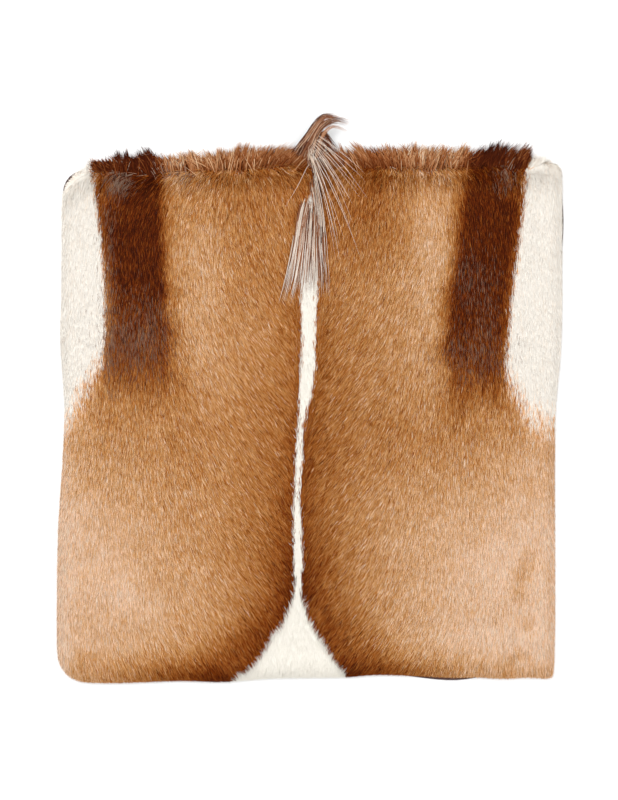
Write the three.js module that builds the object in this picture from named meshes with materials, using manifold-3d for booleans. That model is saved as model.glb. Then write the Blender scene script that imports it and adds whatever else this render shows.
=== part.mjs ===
// Antelope hide cushion cover: an empty square cover, lying on its back with the haired side up.
// Millimetres, +Z up. The top edge, where the hide is folded over, points along +Y.
// The origin lies under the back panel, on the surface that the cover rests on.
import * as THREE from "three";
import { mergeVertices } from "three/addons/utils/BufferGeometryUtils.js";
import Module from "manifold-3d";

const { degToRad, lerp, smoothstep, seededRandom } = THREE.MathUtils;
const wasm = await Module();
wasm.setup();

// Driving dimensions
const GAP = 0.3; // between pieces that touch
const BACK = {
  thickness: 1.6, // suede
  inset: 1.0, // how far the panel stays inside the front one
  step: 9, // between the points of its outline
  shows: {
    bottom: { reach: 3.3, at: 120, spread: 33 }, // where it peeps out
    right: { reach: 1.9, at: 182, spread: 26 },
  },
};
const RIM_THICKNESS = 1.5; // bare edge of the hide at the seam
const COAT = 6.2; // hide and flattened coat above the rim
const ROLL = 14; // how far in the rounded edge reaches
const HEM = { rise: 1.1, inset: 12, spread: 6 }; // ridge over the turned seam allowance
const LOFT = { rise: 2.4, inset: 150, slack: 0.7 }; // slack of the empty pocket under the front
const SPINE = { rise: 1.3, spread: 8 }; // long hair along the middle of the back
const CORNER = { topLeft: 20, topRight: 11, bottomRight: 7, bottomLeft: 28 };
const GRID = { edgeSteps: 5, edgeReach: 25, across: 30, down: 31 };

// Outline of the front panel at the seam
const LEFT_EDGE = [
  { y: 235, x: -223 },
  { y: 112, x: -224 },
  { y: 76, x: -225 },
  { y: 8, x: -221 },
  { y: -104, x: -227 },
  { y: -232, x: -228 },
];
const RIGHT_EDGE = [
  { y: 235, x: 227 },
  { y: 112, x: 227 },
  { y: 67, x: 226 },
  { y: 8, x: 221 },
  { y: -194, x: 220.5 },
  { y: -232, x: 219 },
];
const TOP_EDGE = [
  { x: -223, y: 223 },
  { x: -208, y: 225.5 },
  { x: -197, y: 230.5 },
  { x: -144, y: 230.5 },
  { x: -60, y: 233 },
  { x: 0, y: 235 },
  { x: 117, y: 233 },
  { x: 190, y: 234.5 },
  { x: 227, y: 236 },
];
const BOTTOM_EDGE = [
  { x: -228, y: -231 },
  { x: -178, y: -233 },
  { x: -112, y: -231 },
  { x: -79, y: -232.2 },
  { x: -36, y: -229 },
  { x: 27, y: -228 },
  { x: 56, y: -225.5 },
  { x: 104, y: -227 },
  { x: 135, y: -228.5 },
  { x: 153, y: -227.5 },
  { x: 171, y: -229.5 },
  { x: 193, y: -228 },
  { x: 219, y: -229.5 },
];

// Middle line of the back, which wanders down the hide
const SPINE_LINE = [
  { y: 235, x: 5 },
  { y: 190, x: 1 },
  { y: 112, x: 0 },
  { y: 67, x: -4 },
  { y: 22, x: -8 },
  { y: -41, x: -10.8 },
  { y: -122, x: -13.5 },
  { y: -158, x: -12.6 },
  { y: -232, x: -18 },
];

// Soft folds and dents of the front: where each lies, which way it runs, its half sizes and its depth
const FOLDS = [
  { x: -200, y: -125, turn: 20, long: 13, wide: 10, rise: -2.0 },
  { x: -172, y: -132, turn: 0, long: 12, wide: 10, rise: -1.3 },
  { x: -184, y: -176, turn: 80, long: 30, wide: 9, rise: -1.3 },
  { x: -160, y: -170, turn: 75, long: 26, wide: 10, rise: 0.9 },
  { x: -186, y: -214, turn: 85, long: 20, wide: 9, rise: -1.2 },
  { x: 182, y: -212, turn: 62, long: 17, wide: 8, rise: -2.4 },
  { x: 199, y: -200, turn: 60, long: 18, wide: 11, rise: 1.2 },
  { x: 196, y: -140, turn: 88, long: 34, wide: 10, rise: -1.2 },
  { x: 176, y: -100, turn: 84, long: 40, wide: 14, rise: 0.8 },
  { x: 200, y: -180, turn: 90, long: 12, wide: 9, rise: -0.9 },
  { x: -205, y: 8, turn: 8, long: 44, wide: 16, rise: -1.6 },
  { x: 206, y: 12, turn: -6, long: 40, wide: 16, rise: -1.6 },
  { x: -150, y: 84, turn: 80, long: 46, wide: 17, rise: 1.1 },
  { x: 150, y: 96, turn: 98, long: 50, wide: 17, rise: 1.1 },
  { x: -172, y: 150, turn: 88, long: 60, wide: 14, rise: -0.7 },
  { x: 172, y: 150, turn: 92, long: 60, wide: 14, rise: -0.7 },
  { x: 90, y: -224, turn: 2, long: 46, wide: 12, rise: 0.9 },
];

// Fold at the top edge: how far its hair reaches past the seam, and which way it leans from straight up
const FRINGE_STRIP = { inset: 0.3, width: 4.3, rim: 1.2, height: 5.2, margin: 1.5, steps: 44, rows: 4 };
const FRINGE_BED = { reach: 5, blend: 10 }; // the back panel under the strip
const FRINGE = [
  { x: -194, reach: 8, lean: -38 },
  { x: -182, reach: 10, lean: -30 },
  { x: -166, reach: 14, lean: -22 },
  { x: -147, reach: 16, lean: -14 },
  { x: -126, reach: 14.5, lean: -8 },
  { x: -85, reach: 19, lean: 2 },
  { x: -56, reach: 22, lean: 10 },
  { x: -27, reach: 20, lean: 20 },
  { x: -8, reach: 17, lean: 30 },
  { x: 24, reach: 10, lean: -16 },
  { x: 52, reach: 17, lean: -12 },
  { x: 81, reach: 21, lean: -4 },
  { x: 144, reach: 23, lean: 4 },
  { x: 167, reach: 25, lean: 8 },
  { x: 189, reach: 20, lean: 16 },
  { x: 196, reach: 14, lean: 20 },
  { x: 201, reach: 9, lean: 26 },
];
const LOCK = { pitch: 3.15, inset: 2.4, width: 2.7, height: 2.3, bend: 0.55, arch: 2.0, droop: 0.9 };
const LOCK_SEATS = [2.7, 1.3]; // neighbours lie one above the other

// Crest of long hair at the top of the middle line
const CREST_BED = { top: 231, bottom: 187, half: 4.2, rim: 0.8, height: 3.4, lift: 0.5, columns: 2, rows: 8 };
const STRAND = { width: 2.0, height: 1.5, steps: 4, clear: 1.4 };
const FAN_ROOT = { y: 227, step: 0.6, bow: 3, lifts: [0.3, 2.8, 2.2, 1.0] };
const FAN = [
  { turn: 9, reach: 45 },
  { turn: 17, reach: 47 },
  { turn: 26, reach: 43 },
  { turn: 33, reach: 54 },
  { turn: 40, reach: 46 },
  { turn: 48, reach: 42 },
  { turn: 57, reach: 61 },
  { turn: 64, reach: 92 },
  { turn: 71, reach: 72 },
  { turn: 78, reach: 94 },
  { turn: 127, reach: 47 },
];
const SKIRT = { strands: 12, rootY: 193, shoulderY: 179, tipY: 116, belly: 14, ragged: 7, lifts: [1.0, 0.1] };
const SKIRT_SPREAD = { root: 7, shoulder: 17, tip: 46 };
const PLUME = { strands: 8, width: 3.2, height: 2.4, steps: 6 };
const PLUME_PATH = [
  { outer: [-6, 229, 12.5], inner: [7, 227, 12.5] },
  { outer: [-1, 247, 15], inner: [9, 245, 14] },
  { outer: [8, 266, 16.5], inner: [16, 259, 15] },
  { outer: [20, 276, 14], inner: [26, 264, 13] },
  { outer: [38, 270, 10], inner: [37, 258, 9] },
];

const COLOUR = { hide: 0xb9824f, back: 0x4a2f2b, fringe: 0x8a5a36, crest: 0xcdbfb0 };

const UP = new THREE.Vector3(0, 0, 1);

// A smooth line through a table's rows, as a function of the column `from`
function lineThrough(rows, from, to) {
  const sorted = [...rows].sort((a, b) => a[from] - b[from]);
  const last = sorted.length - 1;
  const slopeAt = (k) => {
    const before = sorted[Math.max(k - 1, 0)];
    const after = sorted[Math.min(k + 1, last)];
    return (after[to] - before[to]) / (after[from] - before[from]);
  };
  return (value) => {
    const held = Math.min(Math.max(value, sorted[0][from]), sorted[last][from]);
    const next = Math.max(1, sorted.findIndex((row) => row[from] >= held));
    const a = sorted[next - 1];
    const b = sorted[next];
    const run = b[from] - a[from];
    const s = (held - a[from]) / run;
    const rise = b[to] - a[to];
    const ease = s * s * (3 - 2 * s);
    const leave = s * (1 - s) * (1 - s) * slopeAt(next - 1) * run;
    const arrive = s * s * (s - 1) * slopeAt(next) * run;
    return a[to] + rise * ease + leave + arrive;
  };
}

const leftEdge = lineThrough(LEFT_EDGE, "y", "x");
const rightEdge = lineThrough(RIGHT_EDGE, "y", "x");
const topEdge = lineThrough(TOP_EDGE, "x", "y");
const bottomEdge = lineThrough(BOTTOM_EDGE, "x", "y");
const spineAt = lineThrough(SPINE_LINE, "y", "x");
const fringeReach = lineThrough(FRINGE, "x", "reach");
const fringeLean = lineThrough(FRINGE, "x", "lean");

const bell = (s) => Math.exp(-s * s);
const ease = (s) => smoothstep(s, 0, 1);
// A repeatable spread of values from -1 to 1
const scatter = (k) => 2 * seededRandom(k) - 1;

// How far in from a straight edge a rounded corner starts, at a distance from the other edge
const cornerInset = (radius, distance) =>
  distance < radius ? radius - Math.sqrt(radius * radius - (radius - distance) ** 2) : 0;

// Distance from a point of the front panel to its outline
function edgeDistance(x, y) {
  const left = x - leftEdge(y);
  const right = rightEdge(y) - x;
  const top = topEdge(x) - y;
  const bottom = y - bottomEdge(x);
  const corners = [
    [CORNER.topLeft, left, top],
    [CORNER.topRight, right, top],
    [CORNER.bottomRight, right, bottom],
    [CORNER.bottomLeft, left, bottom],
  ];
  const rounded = corners
    .filter(([radius, a, b]) => a < radius && b < radius)
    .map(([radius, a, b]) => radius - Math.hypot(radius - a, radius - b));
  return Math.max(0, Math.min(left, right, top, bottom, ...rounded));
}

function foldRise(x, y) {
  return FOLDS.reduce((sum, fold) => {
    const c = Math.cos(degToRad(fold.turn));
    const s = Math.sin(degToRad(fold.turn));
    const along = (x - fold.x) * c + (y - fold.y) * s;
    const across = (y - fold.y) * c - (x - fold.x) * s;
    return sum + fold.rise * bell(along / fold.long) * bell(across / fold.wide);
  }, 0);
}

// Slack of the empty pocket, which lifts the front a little off the back
const pocketSlack = (distance) => LOFT.rise * ease(distance / LOFT.inset);

const hideSeat = BACK.thickness + GAP;
const rimTop = hideSeat + RIM_THICKNESS;

function hideTop(x, y) {
  const distance = edgeDistance(x, y);
  const roll = Math.sqrt(1 - (1 - Math.min(distance, ROLL) / ROLL) ** 2);
  const hem = HEM.rise * bell((distance - HEM.inset) / HEM.spread);
  const spine = SPINE.rise * bell((x - spineAt(y)) / SPINE.spread);
  const soft = ease(distance / ROLL);
  return rimTop + COAT * roll + soft * (hem + spine + foldRise(x, y)) + pocketSlack(distance);
}

function hideUnderside(x, y) {
  const distance = edgeDistance(x, y);
  const fold = Math.max(0, foldRise(x, y)) * ease(distance / ROLL);
  return hideSeat + LOFT.slack * (pocketSlack(distance) + fold);
}

// A closed slab of a grid: place(u, v, over) gives each point of its upper and lower face
function slab(columns, rows, place) {
  const box = new THREE.BoxGeometry(1, 1, 1, columns, rows, 1);
  box.deleteAttribute("normal");
  box.deleteAttribute("uv");
  const grid = mergeVertices(box);
  const at = grid.attributes.position;
  for (let k = 0; k < at.count; k += 1) {
    at.setXYZ(k, ...place(at.getX(k) + 0.5, at.getY(k) + 0.5, at.getZ(k) > 0));
  }
  return grid;
}

// Grid lines that crowd towards both edges, so that the roll and the corners stay round
function gridLine(share, count, low, high) {
  const { edgeSteps, edgeReach } = GRID;
  const k = Math.round(share * count);
  const inset = (steps) => edgeReach * (1 - Math.cos((steps / edgeSteps) * (Math.PI / 2)));
  if (k <= edgeSteps) return low + inset(k);
  if (k >= count - edgeSteps) return high - inset(count - k);
  const middle = (k - edgeSteps) / (count - 2 * edgeSteps);
  return lerp(low + edgeReach, high - edgeReach, middle);
}

function hideGeometry() {
  const columns = GRID.across + 2 * GRID.edgeSteps;
  const rows = GRID.down + 2 * GRID.edgeSteps;
  return slab(columns, rows, (u, v, over) => {
    let x = gridLine(u, columns, leftEdge(0), rightEdge(0));
    let y = 0;
    for (let pass = 0; pass < 4; pass += 1) {
      const low = bottomEdge(x);
      const high = topEdge(x);
      y = gridLine(v, rows, low, high);
      const inset = (bottomRadius, topRadius) =>
        Math.max(cornerInset(bottomRadius, y - low), cornerInset(topRadius, high - y));
      const left = leftEdge(y) + inset(CORNER.bottomLeft, CORNER.topLeft);
      const right = rightEdge(y) - inset(CORNER.bottomRight, CORNER.topRight);
      x = gridLine(u, columns, left, right);
    }
    return [x, y, over ? hideTop(x, y) : hideUnderside(x, y)];
  });
}

// Evenly spaced values from one end of a side to the other
function span(from, to, step) {
  const count = Math.round(Math.abs(to - from) / step);
  return Array.from({ length: count + 1 }, (_, k) => lerp(from, to, k / count));
}

// A rounded corner between an upright side and a level one, turning left from the angle `from`
function roundCorner(upright, level, radius, from) {
  const inwardX = from < 90 || from >= 270 ? -radius : radius;
  const inwardY = from < 180 ? -radius : radius;
  const y = level(upright(level(0)) + inwardX) + inwardY;
  const x = upright(y) + inwardX;
  const turns = span(from, from + 90, 15).map(degToRad);
  return turns.map((turn) => [x + radius * Math.cos(turn), y + radius * Math.sin(turn)]);
}

// The back panel stays inside the front, but shows below the raised hem, beside the right edge
// and under the fringe
function backGeometry() {
  const { shows, step } = BACK;
  const bed = (x) =>
    ease((x - FRINGE[0].x) / FRINGE_BED.blend + 1) * ease((FRINGE.at(-1).x - x) / FRINGE_BED.blend + 1);
  const showing = ({ reach, at, spread }, value) => reach * bell((value - at) / spread) - BACK.inset;
  const low = (x) => bottomEdge(x) - showing(shows.bottom, x);
  const high = (x) => topEdge(x) - BACK.inset + (BACK.inset + FRINGE_BED.reach) * bed(x);
  const left = (y) => leftEdge(y) + BACK.inset;
  const right = (y) => rightEdge(y) + showing(shows.right, y);
  const { topLeft, topRight, bottomRight, bottomLeft } = CORNER;
  const ends = { left: left(0), right: right(0), low: low(0), high: high(0) };
  const points = [
    ...span(ends.left + bottomLeft + step, ends.right - bottomRight - step, step).map((x) => [x, low(x)]),
    ...roundCorner(right, low, bottomRight, 270),
    ...span(ends.low + bottomRight + step, ends.high - topRight - 2 * step, step).map((y) => [right(y), y]),
    ...roundCorner(right, high, topRight, 0),
    ...span(ends.right - topRight - step, ends.left + topLeft + 2 * step, step).map((x) => [x, high(x)]),
    ...roundCorner(left, high, topLeft, 90),
    ...span(ends.high - topLeft - 2 * step, ends.low + bottomLeft + step, step).map((y) => [left(y), y]),
    ...roundCorner(left, low, bottomLeft, 180),
  ];
  const outline = new THREE.Shape(points.map(([x, y]) => new THREE.Vector2(x, y)));
  return new THREE.ExtrudeGeometry(outline, { depth: BACK.thickness, bevelEnabled: false });
}

function solidFrom(geometry) {
  const bare = geometry.clone();
  bare.deleteAttribute("normal");
  bare.deleteAttribute("uv");
  const merged = mergeVertices(bare, 1e-4);
  const mesh = new wasm.Mesh({
    numProp: 3,
    vertProperties: new Float32Array(merged.attributes.position.array),
    triVerts: new Uint32Array(merged.index.array),
  });
  return new wasm.Manifold(mesh);
}

function joined(geometries) {
  const mesh = wasm.Manifold.union(geometries.map(solidFrom)).getMesh();
  const geometry = new THREE.BufferGeometry();
  geometry.setAttribute("position", new THREE.BufferAttribute(mesh.vertProperties, 3));
  geometry.setIndex(new THREE.BufferAttribute(mesh.triVerts, 1));
  geometry.computeVertexNormals();
  return geometry;
}

// A lock of hair: a three-sided cone bent along a curve, flat side down, drawn out to a point
function lock(curve, width, height, steps) {
  const cone = new THREE.ConeGeometry(1, 1, 3, steps);
  cone.deleteAttribute("normal");
  cone.deleteAttribute("uv");
  const bent = mergeVertices(cone, 1e-4);
  const at = bent.attributes.position;
  const side = new THREE.Vector3();
  const up = new THREE.Vector3();
  const ring = new THREE.Vector3();
  for (let k = 0; k < at.count; k += 1) {
    const share = at.getY(k) + 0.5;
    const fullness = share < 1 ? 1 / Math.sqrt(1 - share) : 0;
    const along = curve.getTangent(share);
    side.crossVectors(along, UP).normalize();
    up.crossVectors(side, along);
    ring.copy(curve.getPoint(share));
    ring.addScaledVector(side, (at.getX(k) * fullness * width) / Math.sqrt(3));
    ring.addScaledVector(up, (at.getZ(k) * fullness * height) / 1.5);
    at.setXYZ(k, ring.x, ring.y, ring.z);
  }
  return bent;
}

// Rolled strip behind the seam, which holds the roots of the fringe
function fringeStrip() {
  const { inset, width, rim, height, margin, steps, rows } = FRINGE_STRIP;
  const from = FRINGE[0].x - margin;
  const to = FRINGE.at(-1).x + margin;
  return slab(steps, rows, (u, v, over) => {
    const x = lerp(from, to, u);
    const y = topEdge(x) + inset + width * v;
    return [x, y, hideSeat + (over ? lerp(rim, height, Math.sin(Math.PI * v)) : 0)];
  });
}

function fringeLocks() {
  const first = FRINGE[0].x;
  const count = Math.round((FRINGE.at(-1).x - first) / LOCK.pitch);
  return Array.from({ length: count + 1 }, (_, k) => {
    const x = first + k * LOCK.pitch;
    const turn = degToRad(fringeLean(x) + 3 * scatter(k));
    const reach = fringeReach(x) * lerp(0.76, 0.96, seededRandom(k + count));
    const seat = hideSeat + LOCK_SEATS[k % 2];
    const root = new THREE.Vector3(x, topEdge(x) + LOCK.inset, seat);
    const way = new THREE.Vector3(Math.tan(turn), 1, 0).multiplyScalar(reach - LOCK.inset);
    const middle = root.clone().addScaledVector(way, LOCK.bend).setZ(seat + LOCK.arch);
    const tip = root.clone().add(way).setZ(seat + LOCK.droop);
    return lock(new THREE.QuadraticBezierCurve3(root, middle, tip), LOCK.width, LOCK.height, 2);
  });
}

// Ridge along the middle line, which holds the roots of the crest
function crestBed() {
  const { top, bottom, half, rim, height, lift, columns, rows } = CREST_BED;
  return slab(columns, rows, (u, v, over) => {
    const y = lerp(bottom, top, v);
    const x = spineAt(y) + lerp(-half, half, u);
    const round = Math.sin(Math.PI * u) * Math.sqrt(Math.sin(Math.PI * v));
    return [x, y, hideTop(x, y) + lift + (over ? lerp(rim, height, round) : 0)];
  });
}

// A strand that lies on the front through points of its face, each lifted a little
function strandOn(points, lifts) {
  const path = points.map(([x, y], k) => new THREE.Vector3(x, y, hideTop(x, y) + STRAND.clear + lifts[k]));
  return lock(new THREE.CatmullRomCurve3(path), STRAND.width, STRAND.height, STRAND.steps);
}

function fanStrands() {
  const { y: rootY, step, bow, lifts } = FAN_ROOT;
  return FAN.map(({ turn, reach }, k) => {
    const [x, y] = [spineAt(rootY), rootY - step * k];
    const [c, s] = [Math.cos(degToRad(turn)), -Math.sin(degToRad(turn))];
    const at = (share) => [x + reach * share * c, y + reach * share * s + bow * share * (1 - share)];
    return strandOn(lifts.map((_, row) => at(row / (lifts.length - 1))), lifts);
  });
}

function skirtStrands() {
  const { strands, rootY, shoulderY, tipY, belly, ragged, lifts } = SKIRT;
  const { root, shoulder, tip } = SKIRT_SPREAD;
  return Array.from({ length: strands }, (_, k) => {
    const share = k / (strands - 1) - 0.5;
    const lift = lifts[k % 2];
    const low = tipY - belly * Math.cos(Math.PI * share) + ragged * scatter(k);
    const shoulderX = spineAt(shoulderY) + shoulder * share;
    const tipX = spineAt(tipY) + tip * share;
    const points = [
      [spineAt(rootY) + root * share, rootY],
      [shoulderX, shoulderY],
      [(shoulderX + tipX) / 2, (shoulderY + low) / 2],
      [tipX, low],
    ];
    return strandOn(points, [0.2, lift, lift, 0.1]);
  });
}

function plumeStrands() {
  const { strands, width, height, steps } = PLUME;
  return Array.from({ length: strands }, (_, k) => {
    const share = k / (strands - 1);
    const points = PLUME_PATH.map(
      ({ outer, inner }) => new THREE.Vector3(...outer.map((value, axis) => lerp(value, inner[axis], share))),
    );
    return lock(new THREE.CatmullRomCurve3(points), width, height, steps);
  });
}

function piece(name, geometry, color, roughness) {
  const material = new THREE.MeshStandardMaterial({ color, roughness, metalness: 0 });
  const mesh = new THREE.Mesh(geometry, material);
  mesh.name = name;
  return mesh;
}

const cover = new THREE.Group();
cover.add(
  piece("back_panel", backGeometry(), COLOUR.back, 0.9),
  piece("hide_front", hideGeometry(), COLOUR.hide, 0.7),
  piece("top_fringe", joined([fringeStrip(), ...fringeLocks()]), COLOUR.fringe, 0.7),
  piece(
    "crest",
    joined([crestBed(), ...fanStrands(), ...skirtStrands(), ...plumeStrands()]),
    COLOUR.crest,
    0.6,
  ),
);

export default cover;
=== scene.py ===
"""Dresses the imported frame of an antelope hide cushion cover.

The cover is empty and lies flat with its haired side up. The hide's skin is a thin sheet, and the coat is
rooted all over it: every hair is a slim spike that runs the way the coat lies. Lengths inside this file are
in millimetres and become metres where a mesh is made.
"""

from __future__ import annotations

import logging
import math
from collections.abc import Iterable
from dataclasses import dataclass, field
from enum import Enum
from typing import ClassVar

import bpy
import numpy as np
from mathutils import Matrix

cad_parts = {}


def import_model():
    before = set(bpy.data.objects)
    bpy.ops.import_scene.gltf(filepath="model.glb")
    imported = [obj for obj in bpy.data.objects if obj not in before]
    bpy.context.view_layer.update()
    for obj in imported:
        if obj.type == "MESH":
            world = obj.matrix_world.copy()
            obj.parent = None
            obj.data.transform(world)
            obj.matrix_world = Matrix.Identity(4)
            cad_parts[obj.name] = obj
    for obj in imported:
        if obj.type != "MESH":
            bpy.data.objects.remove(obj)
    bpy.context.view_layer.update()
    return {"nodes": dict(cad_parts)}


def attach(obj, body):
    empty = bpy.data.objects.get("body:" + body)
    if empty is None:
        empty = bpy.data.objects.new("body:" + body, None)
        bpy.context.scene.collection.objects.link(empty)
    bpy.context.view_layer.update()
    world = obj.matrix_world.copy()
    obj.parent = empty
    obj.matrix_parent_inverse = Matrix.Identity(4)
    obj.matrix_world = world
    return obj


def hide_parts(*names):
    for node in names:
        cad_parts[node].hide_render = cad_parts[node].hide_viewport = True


log = logging.getLogger("hide_cover")

MM = 0.001
BODY = "root"
PALETTE_MAP = "OFBake"
# The photo's size, the pixel over the origin, and how much of the cover a pixel shows.
PHOTO_SIZE = (618, 800)
ORIGIN_PIXEL = (310, 424)
PIXEL_MM = 0.9
# Plain hair takes its shade from one part of the palette, and greyish hair from the palette's end. That grey
# is painted sheen on the dark bands and the hair's own grey by the parting.
PLAIN_SHADES = (0.004, 0.965)
SHEEN_AND_GREY_SHADES = (0.983, 0.991)
DARKEST_SKIN = 0.88

Points = np.ndarray
Values = np.ndarray


def bell(values: Values) -> Values:
    """Returns 1 at 0, falling softly to nothing by about 2 either way."""
    return np.exp(-np.square(values))


def ease(values: Values) -> Values:
    """Returns 0 up to 0 and 1 from 1 on, with a soft turn between."""
    held = np.clip(values, 0.0, 1.0)
    return held * held * (3.0 - 2.0 * held)


def blend(low: Values, high: Values, share: Values) -> Values:
    """Returns the value that lies this share of the way from low to high."""
    return low + (high - low) * share


def unit(vectors: Points) -> Points:
    """Returns the vectors at length 1."""
    return vectors / np.maximum(np.linalg.norm(vectors, axis=-1, keepdims=True), 1e-9)


class Line:
    """A line through a few given stations, such as the edge of a stripe down the hide."""

    def __init__(self, *stations: tuple[float, float]) -> None:
        """Takes the stations.

        Args:
            stations: pairs of where, along the hide, and the value there.
        """
        self.where, self.value = np.array(sorted(stations), float).T

    def at(self, where: Values) -> Values:
        """Returns the values at these places."""
        return np.interp(where, self.where, self.value)


@dataclass(frozen=True)
class Patch:
    """A soft patch of the hide: its middle, its half sizes, how it is turned, and what it adds there."""

    x: float
    y: float
    wide: float
    tall: float
    adds: float
    turn: float = 0.0

    def at(self, x: Values, y: Values) -> Values:
        """Finds what the patch adds.

        Args:
            x, y: the places, in millimetres.

        Returns:
            A number for each place.
        """
        c, s = math.cos(math.radians(self.turn)), math.sin(math.radians(self.turn))
        across = (x - self.x) * c + (y - self.y) * s
        along = (y - self.y) * c - (x - self.x) * s
        return self.adds * bell(across / self.wide) * bell(along / self.tall)


def patched(patches: tuple[Patch, ...], x: Values, y: Values) -> Values:
    """Returns what all the patches add at these places."""
    return sum((patch.at(x, y) for patch in patches), np.zeros_like(x))


@dataclass(frozen=True)
class Mottle:
    """Soft random clouds over the hide, from -1 to 1."""

    CELLS: ClassVar[int] = 64

    seed: int
    wide: float
    tall: float

    def at(self, x: Values, y: Values) -> Values:
        """Reads the clouds.

        Args:
            x, y: the places, in millimetres.

        Returns:
            A number from -1 to 1 for each place.
        """
        table = np.random.default_rng(self.seed).uniform(-1, 1, (self.CELLS, self.CELLS))
        across, along = x / self.wide + self.CELLS / 2, y / self.tall + self.CELLS / 2
        column, row = np.floor(across).astype(int), np.floor(along).astype(int)
        right, up = ease(across - column), ease(along - row)
        beside = (column + 1) % self.CELLS
        column, above, row = column % self.CELLS, (row + 1) % self.CELLS, row % self.CELLS
        low, high = (blend(table[column, level], table[beside, level], right) for level in (row, above))
        return blend(low, high, up)


# Lines down or across the hide. The first number of each pair is the place, the second the value there.
SPINE = Line(
    (235, 5), (190, 1), (112, 0), (67, -4), (22, -8), (-41, -10.8), (-122, -13.5), (-158, -12.6), (-232, -18),
)
PARTING = Line(
    (-225, 207), (-206, 222), (-195, 229.5), (-181, 228), (-164, 226.5), (-150, 225), (-139.5, 223),
    (-134, 227.5), (-121, 229), (-104, 229), (-80, 231), (-58, 232), (-39, 233), (-18, 236), (-5, 239),
    (8, 237), (30, 234), (54, 232.5), (78, 232.5), (100, 233.5), (129, 234.5), (152, 235), (170, 233.5),
    (184, 232), (193, 232), (197, 229), (212, 235), (227, 244),
)
# The fringe runs between these places along the top edge.
FRINGE_FROM = -194.0
FRINGE_TO = 194.0


@dataclass(frozen=True)
class Flank:
    """One side of the hide: its white belly hair, and the dark band that runs down the hide beside it.

    side is -1 on the left and 1 on the right. belly and band are their edges towards the back, belly_end is
    how far down the belly hair reaches, and strength is how dark the band is down the hide.
    """

    side: float
    belly: Line
    belly_end: Line
    band: Line
    strength: Line


LEFT_FLANK = Flank(
    -1,
    belly=Line(
        (233, -196), (215, -194), (196, -191.6), (175, -188.6), (153, -186.3), (112, -183.8), (67, -184),
        (45, -185),
    ),
    belly_end=Line((-226, -12), (-219, -6), (-203, 26), (-191, 47), (-183, 55)),
    band=Line((233, -129), (196, -129), (153, -124.5), (110, -124.5), (67, -121), (40, -121)),
    strength=Line((130, 1.0), (110, 0.93), (88, 0.88), (67, 0.80), (45, 0.62), (23, 0.26), (2, 0.0)),
)
RIGHT_FLANK = Flank(
    1,
    belly=Line(
        (233, 197), (218, 193.5), (196, 192.6), (175, 189), (153, 186.5), (131, 183.5), (110, 181),
        (67, 177.3), (45, 176.5),
    ),
    belly_end=Line((176, 40), (187, 21), (198, 2), (214, -4), (226, -8)),
    band=Line((233, 142), (218, 136), (196, 133.5), (153, 126.5), (110, 121.5), (67, 117.5), (45, 121)),
    strength=Line((125, 1.0), (88, 0.92), (67, 0.86), (45, 0.74), (23, 0.38), (8, 0.08), (-6, 0.0)),
)


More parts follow.
